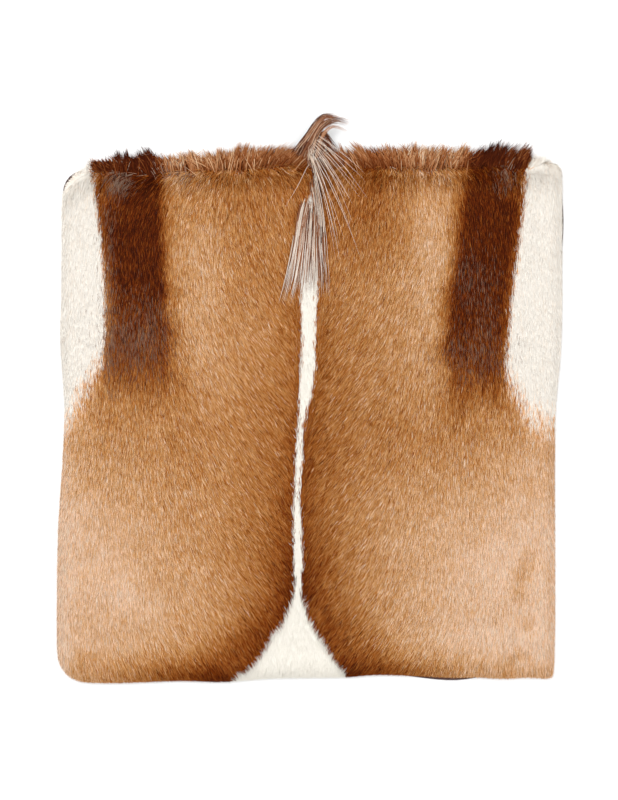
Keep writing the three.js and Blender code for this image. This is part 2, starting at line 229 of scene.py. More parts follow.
@dataclass(frozen=True)
class CoatPattern:
    """Where the coat is white, tan, chestnut and dark brown. Shades run from 0, white, to 1, black-brown."""

    ground: Line = Line(
        (235, 0.52), (205, 0.46), (150, 0.43), (67, 0.42), (0, 0.46), (-20, 0.46), (-63, 0.40), (-106, 0.32),
        (-150, 0.28), (-194, 0.27), (-212, 0.29), (-232, 0.34),
    )
    spine_rise: Line = Line(
        (235, 0.12), (112, 0.19), (67, 0.25), (-20, 0.28), (-63, 0.36), (-106, 0.51), (-150, 0.60),
        (-230, 0.54),
    )
    spine_width: Line = Line(
        (235, 26), (67, 25), (-20, 25), (-63, 33), (-106, 45), (-150, 50), (-194, 48), (-230, 48),
    )
    stripe_left: Line = Line(
        (238, 5), (210, 3), (192, -7.5), (112, -8.2), (67, -7), (30, -10), (4, -10), (-14, -11.8),
        (-68, -14.2), (-122, -14.6), (-140, -13.4), (-154, -14.8), (-172, -21.3), (-181, -26), (-190, -34),
        (-199, -38), (-217, -50), (-226, -64.5), (-238, -80),
    )
    stripe_right: Line = Line(
        (238, 6), (210, 9), (192, 9.6), (150, 7.8), (112, 6.4), (67, 4.8), (48, 4.4), (30, 1.8), (17, -1.2),
        (4, -4.9), (-14, -6.8), (-32, -6), (-68, -9.6), (-86, -7.4), (-122, -6.4), (-140, -7.6), (-154, -7.6),
        (-163, -4), (-172, -2.2), (-190, 7.4), (-208, 19.4), (-223, 30.4), (-238, 38),
    )
    flanks: tuple[Flank, Flank] = (LEFT_FLANK, RIGHT_FLANK)
    edge_wander: float = 1.2
    belly_wander: float = 1.4
    belly_softness: float = 3.0
    belly_end_wander: float = 8.0
    belly_end_softness: float = 44.0
    white_mix: tuple[float, float, float] = (1.9, -0.45, 0.4)
    # White hair is painted a little greyer away from the middle, a painted shade where the light falls off
    # towards the sides.
    white_shades: tuple[float, float] = (0.01, 0.05)
    white_spread: float = 0.006
    white_shaded_from: float = 90.0
    white_shaded_over: float = 40.0
    band_core: float = 0.925
    band_rim: float = 0.73
    band_rim_width: float = 10.0
    band_softness: tuple[float, float] = (22.0, 19.0)
    band_crisper_from: float = 100.0
    band_crisper_over: float = 110.0
    palest_brown: float = 0.14
    palest_brown_hair: float = 0.11
    spreads: Line = Line((0.15, 0.05), (0.4, 0.09), (0.6, 0.095), (0.9, 0.065))
    band_wobble: tuple[Mottle, float] = (Mottle(6, 19.0, 17.0), 4.5)
    # Places that are darker or, with a minus, paler than the ground.
    patches: tuple[Patch, ...] = (
        Patch(-205, -100, 60, 95, -0.12),
        Patch(-226, -60, 14, 80, -0.12),
        Patch(-226, -215, 14, 28, -0.14),
        Patch(175, -130, 90, 95, -0.13),
        Patch(216, -41, 40, 75, -0.12),
        Patch(190, -205, 40, 20, -0.07),
        Patch(95, -15, 90, 40, 0.05),
        Patch(-97, 125, 22, 80, -0.11),
        Patch(108, 167, 22, 62, -0.14),
        Patch(-63, 221, 60, 15, 0.10),
        Patch(-62, 200, 45, 18, 0.07),
        Patch(-52, 145, 35, 40, 0.06),
        Patch(52, 205, 36, 38, 0.16),
        Patch(60, 160, 35, 24, 0.07),
        Patch(63, 226, 55, 14, 0.06),
        Patch(-8, 200, 12, 30, 0.04),
        Patch(-120, 214, 14, 12, -0.08),
        Patch(-203, 0, 12, 14, -0.08),
        Patch(-190, 34, 16, 20, -0.10),
        Patch(-117, 45, 10, 55, 0.09),
        Patch(87, -15, 20, 100, -0.03),
        Patch(-222, -170, 8, 36, -0.07),
        Patch(-222, -32, 8, 16, -0.08),
        Patch(-203, -214, 8, 14, 0.08),
        Patch(-186, -199, 11, 10, -0.09),
        Patch(-162, -156, 14, 26, -0.07),
        Patch(178, -32, 40, 14, -0.06),
        Patch(-67, -222, 16, 10, -0.12),
        Patch(4, -172, 8, 12, -0.12),
        Patch(14, 172, 5, 24, 0.10),
        Patch(31, 216, 9, 14, -0.10),
        Patch(150, -192, 70, 14, -0.05),
        Patch(110, 90, 24, 40, -0.04),
        Patch(-63, -194, 46, 16, 0.12, 45),
        Patch(46, -196, 48, 18, 0.11, -45),
        Patch(-117, -224, 60, 17, 0.23),
        Patch(81, -224, 56, 15, 0.15),
        Patch(-140, -170, 20, 22, -0.07),
        # From here on, the darker patches mostly lie in the skin's creases, where they are painted shade.
        Patch(-202, -112, 10, 9, 0.04),
        Patch(-150, -175, 9, 26, 0.02),
        Patch(-186, -192, 7, 34, 0.03),
        Patch(197, -121, 7, 12, 0.11),
        Patch(190, -139, 7, 12, 0.11),
        Patch(187, -153, 8, 7, 0.08),
        Patch(195, -180, 6, 6, 0.09),
        Patch(180, -218, 5, 11, 0.15, -20),
        Patch(189, -207, 9, 6, 0.10, -35),
        Patch(214, -135, 6, 12, 0.06),
    )
    # The same, for what lies over the dark bands.
    tints: tuple[Patch, ...] = (
        Patch(-181, 105, 8, 40, -0.13),
        Patch(-181, 212, 9, 16, -0.16),
        Patch(184, 216, 8, 14, -0.12),
        Patch(146, 30, 30, 18, -0.05),
    )
    # Shares of greyish hairs: painted sheen on the dark bands, and the hair's own grey by the parting.
    sheen_and_grey: tuple[Patch, ...] = (
        Patch(-172, 218, 11, 11, 0.7),
        Patch(-150, 76, 28, 32, 0.38),
        Patch(-181, 130, 6, 72, 0.32),
        Patch(-178, 62, 8, 34, 0.22),
        Patch(-128, 228, 11, 7, 0.45),
        Patch(-115, 222, 10, 8, 0.25),
        Patch(112, 226, 14, 8, 0.20),
        Patch(176, 222, 9, 12, 0.35),
        Patch(143, 128, 14, 24, 0.22),
        Patch(162, 96, 10, 40, 0.16),
        Patch(144, 60, 28, 22, 0.26),
    )
    mottles: tuple[tuple[Mottle, float], ...] = (
        (Mottle(3, 26.0, 34.0), 0.018),
        (Mottle(4, 9.0, 13.0), 0.020),
        (Mottle(5, 3.2, 6.5), 0.010),
    )

    def from_stripe(self, x: Values, y: Values) -> Values:
        """Returns how far a place is from the white stripe on the back, 0 inside it."""
        return np.maximum(np.maximum(self.stripe_left.at(y) - x, x - self.stripe_right.at(y)), 0)

    def white(self, x: Values, y: Values, ragged: Values) -> Values:
        """Tells how white the coat is.

        Args:
            x, y: the places, in millimetres.
            ragged: a random number from -1 to 1 for each hair, which roughens the edges.

        Returns:
            A share for each place, 1 where the coat is white.
        """
        edge = self.edge_wander * ragged
        white = (x + edge > self.stripe_left.at(y)) & (x + edge < self.stripe_right.at(y))
        for flank in self.flanks:
            across = flank.side * (x + self.belly_wander * edge - flank.belly.at(y)) / self.belly_softness
            down = (y + self.belly_end_wander * ragged - flank.belly_end.at(x)) / self.belly_end_softness
            white = white + ease(across + 0.5) * ease(down + 0.5)
        return np.clip(white, 0, 1)

    def brown(self, x: Values, y: Values) -> Values:
        """Tells how dark the brown coat is, between the white parts.

        Args:
            x, y: the places, in millimetres.

        Returns:
            A shade for each place.
        """
        rise = self.spine_rise.at(y) * np.exp(-self.from_stripe(x, y) / self.spine_width.at(y))
        shade = self.ground.at(y) + rise + patched(self.patches, x, y)
        shade = shade + sum(cloud.at(x, y) * depth for cloud, depth in self.mottles)
        shade = np.maximum(shade, self.palest_brown)
        return blend(shade, *self._bands(x, y)) + patched(self.tints, x, y)

    def _bands(self, x: Values, y: Values) -> tuple[Values, Values]:
        """Finds the dark bands, which are paler at their rims.

        Args:
            x, y: the places, in millimetres.

        Returns:
            The bands' shade at each place, and their share in it from 0 to 1.
        """
        soft = blend(*self.band_softness, ease((y - self.band_crisper_from) / self.band_crisper_over))
        cloud, size = self.band_wobble
        wobble = size * cloud.at(x, y)
        share, rims = np.zeros_like(x), []
        for flank in self.flanks:
            inside = flank.side * (x - flank.band.at(y))
            share = share + ease((inside + wobble) / soft + 0.5) * flank.strength.at(y + 2 * wobble)
            rims.append(np.minimum(flank.side * (flank.belly.at(y) - x), inside))
        shade = blend(self.band_rim, self.band_core, ease(np.where(x < 0, *rims) / self.band_rim_width))
        return shade, np.clip(share, 0, 1)

    def shade(self, x: Values, y: Values, ragged: Values, spread: Values) -> Values:
        """Tells each hair its shade.

        Args:
            x, y: the places where the hairs show, in millimetres.
            ragged: a random number from -1 to 1 for each hair, for the edges of the white parts.
            spread: a random number around 0 for each hair, for its own shade.

        Returns:
            A shade for each hair, from 0 to 1.
        """
        brown = self.brown(x, y)
        brown = np.maximum(brown + spread * self.spreads.at(brown), self.palest_brown_hair)
        # Painted shade: white hair greys away from the middle.
        pale = blend(*self.white_shades, ease((np.abs(x) - self.white_shaded_from) / self.white_shaded_over))
        gain, offset, own = self.white_mix
        white = ease(gain * self.white(x, y, ragged) + offset + own * np.clip(ragged, -1, 1))
        return np.clip(blend(brown, pale + self.white_spread * spread, white), *PLAIN_SHADES)

    def sheen_and_grey_hairs(self, x: Values, y: Values, chance: Values) -> Values:
        """Tells which hairs are greyish, partly with painted sheen, given a random number from 0 to 1 for
        each.
        """
        return patched(self.sheen_and_grey, x, y) > chance


@dataclass(frozen=True)
class CoatFlow:
    """Which way the coat runs. Leans are in degrees, positive towards +X."""

    size: Line = Line((235, 0), (200, 4), (157, 12), (112, 26), (67, 37), (-232, 36))
    reach: Line = Line((235, 72), (-150, 74), (-203, 122), (-232, 128))
    peak: float = 36.0
    still: Line = Line((235, 14), (60, 12), (0, 8), (-232, 6))
    below: Line = Line(
        (-225, -10), (-194, -22), (-180, -30), (-166, -44), (-150, -68), (-142, -52), (-135, -40),
        (-124, -32), (-106, -36), (-92, -38), (-77, -20), (-63, 2), (-49, 28), (-34, 42), (-20, 54), (-8, 50),
        (0, 20), (14, -12), (30, -25), (45, -30), (60, -17), (75, -6), (95, 5), (110, 12), (126, 22),
        (140, 27), (153, 22), (170, 14), (185, 6), (227, 4),
    )
    fade: float = 27.0
    up: Line = Line(
        (-225, -60), (-196, -44), (-186, -46), (-178, -40), (-174, -18), (-171, -4), (-164, -12), (-155, -16),
        (-147, -22), (-138, -27), (-129, -24), (-118, -10), (-109, -2), (-100, -30), (-92, -26), (-80, 0),
        (-63, 10), (-49, 14), (-38, 34), (-27, 48), (-12, 52), (0, 46), (14, 0), (24, -30), (45, -32),
        (60, -24), (75, -10), (95, 8), (110, 16), (126, 22), (140, 26), (153, 34), (168, 26), (185, 34),
        (200, 42), (227, 60),
    )
    drift: tuple[tuple[Mottle, float], ...] = ((Mottle(7, 30.0, 30.0), 5.0), (Mottle(8, 8.0, 11.0), 5.0))

    def lean(self, x: Values, y: Values) -> Values:
        """Tells how far the hair that runs down the hide leans from straight down.

        Args:
            x, y: the roots' places, in millimetres.

        Returns:
            Degrees for each place.
        """
        side = x - SPINE.at(y)
        bend = bell((np.abs(side) - self.peak) / self.reach.at(y))
        bend = bend * ease(PATTERN.from_stripe(x, y) / self.still.at(y))
        near = np.exp(-np.maximum(PARTING.at(x) - y, 0) / self.fade)
        drift = sum(cloud.at(x, y) * turn for cloud, turn in self.drift)
        return -np.sign(side) * self.size.at(y) * bend + self.below.at(x) * near + drift

    def along(self, x: Values, y: Values, sway: Values) -> Points:
        """Tells the way that hair runs, seen from above.

        Args:
            x, y: the roots' places, in millimetres.
            sway: degrees that each hair is off the common way.

        Returns:
            A level unit vector for each hair.
        """
        upward = y > PARTING.at(x)
        lean = np.radians(np.where(upward, self.up.at(x), self.lean(x, y)) + sway)
        return np.stack([np.sin(lean), np.where(upward, 1, -1) * np.cos(lean), np.zeros_like(x)], axis=-1)


PATTERN = CoatPattern()
FLOW = CoatFlow()


# Shader graphs


class Value:
    """A socket of a node tree. Python's operators on it add Math nodes."""

    def __init__(self, graph: Graph, socket: bpy.types.NodeSocket) -> None:
        """Wraps a socket of the graph."""
        self.graph = graph
        self.socket = socket

    def _math(self, operation: str, first: Value | float, second: Value | float) -> Value:
        """Returns the result of a Math node on two values."""
        return self.graph.add("ShaderNodeMath", {"operation": operation}, {0: first, 1: second})

    def __add__(self, other: Value | float) -> Value:
        """Returns self + other."""
        return self._math("ADD", self, other)

    def __radd__(self, other: float) -> Value:
        """Returns other + self."""
        return self._math("ADD", other, self)

    def __sub__(self, other: Value | float) -> Value:
        """Returns self - other."""
        return self._math("SUBTRACT", self, other)

    def __rsub__(self, other: float) -> Value:
        """Returns other - self."""
        return self._math("SUBTRACT", other, self)

    def __mul__(self, other: Value | float) -> Value:
        """Returns self * other."""
        return self._math("MULTIPLY", self, other)

    def __rmul__(self, other: float) -> Value:
        """Returns other * self."""
        return self._math("MULTIPLY", other, self)

    def __pow__(self, other: Value | float) -> Value:
        """Returns self ** other."""
        return self._math("POWER", self, other)


class Graph:
    """The node tree of one material."""

    def __init__(self, name: str) -> None:
        """Starts a material of this name with an empty tree."""
        self.material = bpy.data.materials.new(name)
        self.material.use_nodes = True
        self.tree = self.material.node_tree
        self.tree.nodes.clear()

    def add(
        self, kind: str, settings: dict | None = None, sockets: dict | None = None, out: int | str = 0
    ) -> Value:
        """Adds a node.

        Args:
            kind: the node's type.
            settings: its own settings, set first. stops are a colour ramp's places and colours.
            sockets: the values or links of its sockets, by name or number.
            out: the output to return.

        Returns:
            The chosen output.
        """
        node = self.tree.nodes.new(kind)
        for name, value in (settings or {}).items():
            if name == "stops":
                self._set_stops(node.color_ramp.elements, value)
            else:
                setattr(node, name, value)
        for name, value in (sockets or {}).items():
            if isinstance(value, Value):
                self.tree.links.new(value.socket, node.inputs[name])
            else:
                node.inputs[name].default_value = value
        return Value(self, node.outputs[out] if len(node.outputs) else None)

    @staticmethod
    def _set_stops(elements: bpy.types.ColorRampElements, stops: tuple) -> None:
        """Gives a colour ramp its stops.

        Args:
            elements: the ramp's elements.
            stops: pairs of a place from 0 to 1 and a colour.
        """
        while len(elements) < len(stops):
            elements.new(0.5)
        for element, (place, colour) in zip(elements, stops):
            element.position = place
            element.color = (*colour, 1.0)

    def finish(self, **sockets: Value | float | tuple) -> bpy.types.Material:
        """Adds the surface shader and its output.

        Args:
            sockets: the shader's sockets, with an underscore for each space in a name.

        Returns:
            The material.
        """
        named = {name.replace("_", " "): value for name, value in sockets.items()}
        surface = self.add("ShaderNodeBsdfPrincipled", sockets=named)
        self.add("ShaderNodeOutputMaterial", sockets={"Surface": surface})
        return self.material


def colour(code: str, gain: float = 1.0) -> tuple[float, float, float]:
    """Turns a colour as seen on a screen into the shader's linear numbers.

    Args:
        code: six hexadecimal digits.
        gain: how much brighter to make it.

    Returns:
        Red, green and blue.
    """
    seen = [int(code[k : k + 2], 16) / 255 for k in (0, 2, 4)]
    return tuple(min(gain * (s / 12.92 if s <= 0.04045 else ((s + 0.055) / 1.055) ** 2.4), 1.0) for s in seen)


COAT_SHADES = (
    (0.00, "e8e4da"),
    (0.05, "dfdad2"),
    (0.10, "e6d0b8"),
    (0.15, "f2caac"),
    (0.23, "e2b78f"),
    (0.31, "d6a472"),
    (0.39, "ca955d"),
    (0.46, "c1864a"),
    (0.53, "b7773c"),
    (0.61, "a86529"),
    (0.70, "944e19"),
    (0.78, "813c0b"),
    (0.86, "6a2903"),
    (0.93, "4e1700"),
    (0.972, "330f02"),
    # The palette's end: greyish hair, partly painted sheen.
    (0.98, "6c4a39"),
    (1.00, "aa907c"),
)
FRINGE_SHADES = (
    (0.00, "e8e4da"),
    (0.10, "e6d6c4"),
    (0.23, "dcbb9a"),
    (0.31, "cfa680"),
    (0.39, "c2946c"),
    (0.46, "b48159"),
    (0.53, "a56d45"),
    (0.61, "945a33"),
    (0.70, "824823"),
    (0.78, "713713"),
    (0.86, "5c2609"),
    (0.93, "441603"),
    (0.972, "2e0e03"),
    # The palette's end: greyish hair, partly painted sheen.
    (0.98, "7a5a48"),
    (1.00, "b8a392"),
)
CREST_SHADES = (
    (0.00, "f4efe9"),
    (0.15, "eedccb"),
    (0.30, "d6b496"),
    (0.45, "b5825f"),
    (0.60, "985d37"),
    (0.75, "773b1b"),
    (0.88, "48200e"),
    (1.00, "24100a"),
)


@dataclass(frozen=True)
class HairFinish:
    """The finish of hair, drawn on its own map: across it the coat's shades, up it from root to tip. Up the
    map the colour is painted shade at the root, between the hairs, and grows lighter towards the tip.
    """

    name: str
    shades: tuple[tuple[float, str], ...] = COAT_SHADES
    gain: float = 1.0
    root: float = 0.30
    tip: float = 1.10
    roughness: float = 0.55
    shine: float = 0.035

    def material(self) -> bpy.types.Material:
        """Returns the material."""
        graph = Graph(self.name)
        place = graph.add("ShaderNodeUVMap", {"uv_map": PALETTE_MAP})
        across = graph.add("ShaderNodeSeparateXYZ", sockets={0: place}, out=0)
        upward = graph.add("ShaderNodeSeparateXYZ", sockets={0: place}, out=1)
        stops = tuple((at, colour(code, self.gain)) for at, code in self.shades)
        shade = graph.add("ShaderNodeValToRGB", {"stops": stops}, {0: across})
        # Painted light: each hair darkens towards its root, a painted shade between the hairs.
        light = self.root + (self.tip - self.root) * upward**0.6
        lit = graph.add("ShaderNodeVectorMath", {"operation": "SCALE"}, {0: shade, "Scale": light})
        return graph.finish(Base_Color=lit, Roughness=self.roughness, Specular_IOR_Level=self.shine)


@dataclass(frozen=True)
class SkinFinish:
    """The finish of the hide under its coat: the coat's own shade with streaks of fine underhair, painted
    darker under brown hair as the shade between the hairs, and a little brighter under white hair.
    """

    name: str = "hide_underhair"
    # Painted shade: the skin is darker under brown hair and a little brighter under white hair.
    white_gain: float = 1.05
    brown_gain: float = 0.78
    brown_from: float = 0.12
    streak: float = 0.05

    def material(self) -> bpy.types.Material:
        """Returns the material, which reads the skin's own shade attribute."""
        graph = Graph(self.name)
        place = graph.add("ShaderNodeTexCoord", out="Object")
        streaked = graph.add("ShaderNodeMapping", {}, {0: place, "Scale": (900.0, 160.0, 400.0)})
        streaks = graph.add("ShaderNodeTexNoise", sockets={"Vector": streaked, "Scale": 1.0, "Detail": 3.0})
        own = graph.add("ShaderNodeAttribute", {"attribute_name": "shade"}, out="Fac")
        stops = tuple((at, colour(code, self._gain(at))) for at, code in COAT_SHADES)
        shade = graph.add("ShaderNodeValToRGB", {"stops": stops}, {0: own + (streaks - 0.5) * self.streak})
        bump = graph.add("ShaderNodeBump", sockets={"Strength": 0.6, "Distance": 0.0006, "Height": streaks})
        return graph.finish(Base_Color=shade, Roughness=0.75, Normal=bump)

    def _gain(self, at: float) -> float:
        """Returns how bright the skin is at this shade: white hair lets more light down to it."""
        return self.white_gain if at < self.brown_from else self.brown_gain


@dataclass(frozen=True)
class SuedeFinish:
    """The finish of the back panel: dark plum-brown suede with a brushed nap."""

    name: str = "plum_brown_suede"
    dark: str = "2b1615"
    light: str = "4f2f2a"

    def material(self) -> bpy.types.Material:
        """Returns the material."""
        graph = Graph(self.name)
        place = graph.add("ShaderNodeTexCoord", out="Object")
        cloudy = {"Vector": place, "Scale": 18.0, "Detail": 5.0, "Distortion": 0.8}
        cloud = graph.add("ShaderNodeTexNoise", sockets=cloudy)
        brushed = {"Vector": place, "Scale": 900.0, "Detail": 4.0, "Roughness": 0.7}
        nap = graph.add("ShaderNodeTexNoise", sockets=brushed)
        pores = graph.add("ShaderNodeTexVoronoi", {"feature": "F1"}, {"Vector": place, "Scale": 650.0})
        tone = cloud * 0.75 + nap * 0.35 - 0.05
        stops = ((0.3, colour(self.dark)), (0.75, colour(self.light)))
        shade = graph.add("ShaderNodeValToRGB", {"stops": stops}, {0: tone})
        raised = {"Strength": 0.5, "Distance": 0.0004, "Height": nap * 0.7 + pores * 0.4}
        bump = graph.add("ShaderNodeBump", sockets=raised)
        return graph.finish(
            Base_Color=shade, Roughness=0.95, Sheen_Weight=0.35, Sheen_Roughness=0.5, Normal=bump
        )


@dataclass(frozen=True)
class FloorFinish:
    """The finish of the plain pale floor."""

    name: str = "pale_floor"
    tone: float = 0.9

    def material(self) -> bpy.types.Material:
        """Returns the material."""
        graph = Graph(self.name)
        place = graph.add("ShaderNodeTexCoord", out="Object")
        cloud = graph.add("ShaderNodeTexNoise", sockets={"Vector": place, "Scale": 3.0})
        level = self.tone + (cloud - 0.5) * 0.01
        pale = graph.add("ShaderNodeCombineColor", sockets={0: level, 1: level, 2: level})
        return graph.finish(Base_Color=pale, Roughness=0.9, Specular_IOR_Level=0.1)


# Meshes


def select_only(piece: bpy.types.Object) -> None:
    """Makes a piece the only selected object, and the active one."""
    bpy.ops.object.select_all(action="DESELECT")
    piece.select_set(True)
    bpy.context.view_layer.objects.active = piece


def copy_of_node(node: bpy.types.Object, name: str) -> bpy.types.Object:
    """Makes a piece from a node's faces, merged into one closed mesh of mostly four-sided faces.

    Args:
        node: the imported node.
        name: the new piece's name.

    Returns:
        The new piece, selected and active.
    """
    piece = bpy.data.objects.new(name, node.data.copy())
    piece.data.materials.clear()
    bpy.context.scene.collection.objects.link(piece)
    select_only(piece)
    bpy.ops.object.mode_set(mode="EDIT")
    bpy.ops.mesh.select_all(action="SELECT")
    bpy.ops.mesh.remove_doubles(threshold=0.00002)
    bpy.ops.mesh.customdata_custom_splitnormals_clear()
    bpy.ops.mesh.tris_convert_to_quads(face_threshold=math.radians(60), shape_threshold=math.radians(60))
    bpy.ops.object.mode_set(mode="OBJECT")
    return piece


def places(mesh: bpy.types.Mesh) -> Points:
    """Returns a mesh's vertices, in millimetres."""
    found = np.empty(len(mesh.vertices) * 3, np.float32)
    mesh.vertices.foreach_get("co", found)
    return found.reshape(-1, 3).astype(float) / MM


def place(mesh: bpy.types.Mesh, points: Points) -> None:
    """Puts a mesh's vertices at these points, in millimetres."""
    mesh.vertices.foreach_set("co", (points * MM).astype(np.float32).ravel())
    mesh.update()


def normals(mesh: bpy.types.Mesh) -> Points:
    """Returns the way that each vertex of a mesh faces."""
    found = np.empty(len(mesh.vertices) * 3, np.float32)
    mesh.vertices.foreach_get("normal", found)
    return found.reshape(-1, 3).astype(float)


def dress(piece: bpy.types.Object, material: bpy.types.Material, node: str | None = None) -> None:
    """Finishes a piece.

    Args:
        piece: the piece, in place.
        material: what it wears.
        node: the node that it stands for, if it stands for one.
    """
    piece.data.materials.clear()
    piece.data.materials.append(material)
    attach(piece, BODY)
    if node:
        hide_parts(node)
    log.info("%s: %d faces", piece.name, len(piece.data.polygons))


def shade_skin(skin: bpy.types.Object, x: Values, y: Values) -> None:
    """Stores the coat's shade on a skin's vertices, as an attribute that its finish reads.

    Args:
        skin: the skin.
        x, y: for each vertex, the place on the hide whose shade it takes.
    """
    shade = PATTERN.shade(x, y, np.zeros_like(x), np.zeros_like(x))
    stored = skin.data.attributes.new("shade", "FLOAT", "POINT")
    stored.data.foreach_set("value", np.minimum(shade, DARKEST_SKIN).astype(np.float32))


def along_curves(stations: Points, shares: Values) -> Points:
    """Finds points on smooth curves.

    Args:
        stations: the points that each curve passes through, curve by curve.
        shares: for each curve, how far along it the wanted points lie, from 0 to 1.

    Returns:
        The points, curve by curve.
    """
    last = stations.shape[1] - 1
    where = shares * last
    start = np.clip(np.floor(where).astype(int), 0, last - 1)
    share = (where - start)[..., None]
    curve = np.arange(len(stations))[:, None]
    before, after = stations[curve, start], stations[curve, start + 1]
    leaving = (after - stations[curve, np.maximum(start - 1, 0)]) / 2
    arriving = (stations[curve, np.minimum(start + 2, last)] - before) / 2
    there = blend(before, after, ease(share))
    return there + share * (1 - share) ** 2 * leaving - share**2 * (1 - share) * arriving


@dataclass
class Hairs:
    """Many hairs.

    Its arrays hold a row for each hair: the points that it runs through, the way its back faces, its width,
    its shades at the root and at the tip, and how lit it is there, from 0 to 1. thickness is a share of the
    width,
    half_stroke is half a hair's width on the palette map, and roundness is how far its sides are shaded
    sideways.
    """

    paths: Points
    backs: Points
    width: Values
    shades: Values
    lights: Values
    thickness: float = 0.36
    half_stroke: float = 0.0022
    roundness: float = 0.45
    open_beneath: bool = False

    def __len__(self) -> int:
        """Returns the number of hairs."""
        return len(self.paths)

    def part(self, chosen: Values) -> Hairs:
        """Returns only the chosen hairs."""
        return self._like(row[chosen] for row in self._rows())

    def with_others(self, *others: Hairs) -> Hairs:
        """Joins hairs whose paths have as many points.

        Args:
            others: the hairs to join to these.

        Returns:
            All of them.
        """
        return self._like(np.concatenate(rows) for rows in zip(*(hairs._rows() for hairs in (self, *others))))

    def _rows(self) -> tuple[Points, ...]:
        """Returns the arrays that hold a row for each hair."""
        return self.paths, self.backs, self.width, self.shades, self.lights

    def _like(self, rows: Iterable[Points]) -> Hairs:
        """Returns hairs of the same make with other rows."""
        return Hairs(*rows, self.thickness, self.half_stroke, self.roundness, self.open_beneath)

    def corners(self) -> tuple[Points, Points]:
        """Lays out each hair's vertices: three round each point of its path but the last, which is the tip.

        Returns:
            The vertices, and the way that each is shaded: up from the coat, and a little to its own side.
        """
        steps = np.diff(self.paths, axis=1)
        way = steps.copy()
        way[:, 1:] += steps[:, :-1]
        side = unit(np.cross(way, self.backs[:, None, :]))
        up = unit(np.cross(side, way))
        count = steps.shape[1]
        taper = 1 - (np.arange(count) / count) ** 1.7
        width = (self.width[:, None] * taper)[..., None]
        at = self.paths[:, :-1]
        ridge = at + up * width * self.thickness
        rings = np.stack([at - side * width / 2, at + side * width / 2, ridge], axis=2)
        places_of = np.concatenate([rings.reshape(len(self), 3 * count, 3), self.paths[:, -1:]], axis=1)
        crown = unit(up + self.backs[:, None, :])
        shaded = unit(np.stack([crown - side * self.roundness, crown + side * self.roundness, crown], axis=2))
        facing = np.concatenate([shaded.reshape(len(self), 3 * count, 3), crown[:, -1:]], axis=1)
        return places_of, facing

    def faces(self) -> list[list[int]]:
        """Lists one hair's faces, facing out. A hair that is open beneath has only its two upper sides.

        Returns:
            The numbers of each face's corners among the hair's vertices.
        """
        count = self.paths.shape[1] - 1
        upper, under = [], [[0, 1, 2]]
        for ring in range(count - 1):
            a, b = 3 * ring, 3 * ring + 3
            upper += [[a, a + 2, b + 2, b], [a + 2, a + 1, b + 1, b + 2]]
            under += [[a, b, b + 1, a + 1]]
        last, tip = 3 * count - 3, 3 * count
        upper += [[last, last + 2, tip], [last + 2, last + 1, tip]]
        under += [[last, tip, last + 1]]
        return upper if self.open_beneath else under + upper

    def as_piece(self, name: str) -> bpy.types.Object:
        """Makes one joined mesh of all the hairs, with its palette map.

        Args:
            name: the piece's name.

        Returns:
            The new piece.
        """
        (corners, facing), faces = self.corners(), self.faces()
        hairs, each = corners.shape[:2]
        pattern = np.concatenate(faces)
        sizes = np.array([len(face) for face in faces])
        starts = np.concatenate([[0], np.cumsum(sizes)[:-1]])
        first = np.arange(hairs)[:, None]
        mesh = bpy.data.meshes.new(name)
        mesh.vertices.add(hairs * each)
        mesh.vertices.foreach_set("co", (corners * MM).astype(np.float32).ravel())
        mesh.loops.add(hairs * len(pattern))
        mesh.loops.foreach_set("vertex_index", (first * each + pattern).astype(np.int32).ravel())
        mesh.polygons.add(hairs * len(faces))
        mesh.polygons.foreach_set("loop_start", (first * len(pattern) + starts).astype(np.int32).ravel())
        mesh.update(calc_edges=True)
        mesh.shade_smooth()
        self._lay_map(mesh, pattern, each)
        mesh.normals_split_custom_set_from_vertices(facing.reshape(-1, 3).astype(np.float32))
        piece = bpy.data.objects.new(name, mesh)
        bpy.context.scene.collection.objects.link(piece)
        return piece

    def _lay_map(self, mesh: bpy.types.Mesh, pattern: Values, each: int) -> None:
        """Draws each hair on the palette map as a narrow upright stroke at its shade.

        Args:
            mesh: the hairs' mesh.
            pattern: the vertex of each corner of one hair's faces.
            each: the number of vertices of a hair.
        """
        across = np.append(np.tile([-1.0, 1.0, 0.0], each // 3), 0.0) * self.half_stroke
        upward = np.append(np.repeat(np.arange(each // 3), 3), each // 3) / (each // 3)
        upward[2] += 0.03
        drawn = np.empty((len(self), len(pattern), 2), np.float32)
        drawn[..., 0] = blend(self.shades[:, :1], self.shades[:, 1:], upward[pattern]) + across[pattern]
        drawn[..., 1] = 0.01 + 0.98 * blend(self.lights[:, :1], self.lights[:, 1:], upward[pattern])
        mesh.uv_layers.new(name=PALETTE_MAP).uv.foreach_set("vector", drawn.ravel())


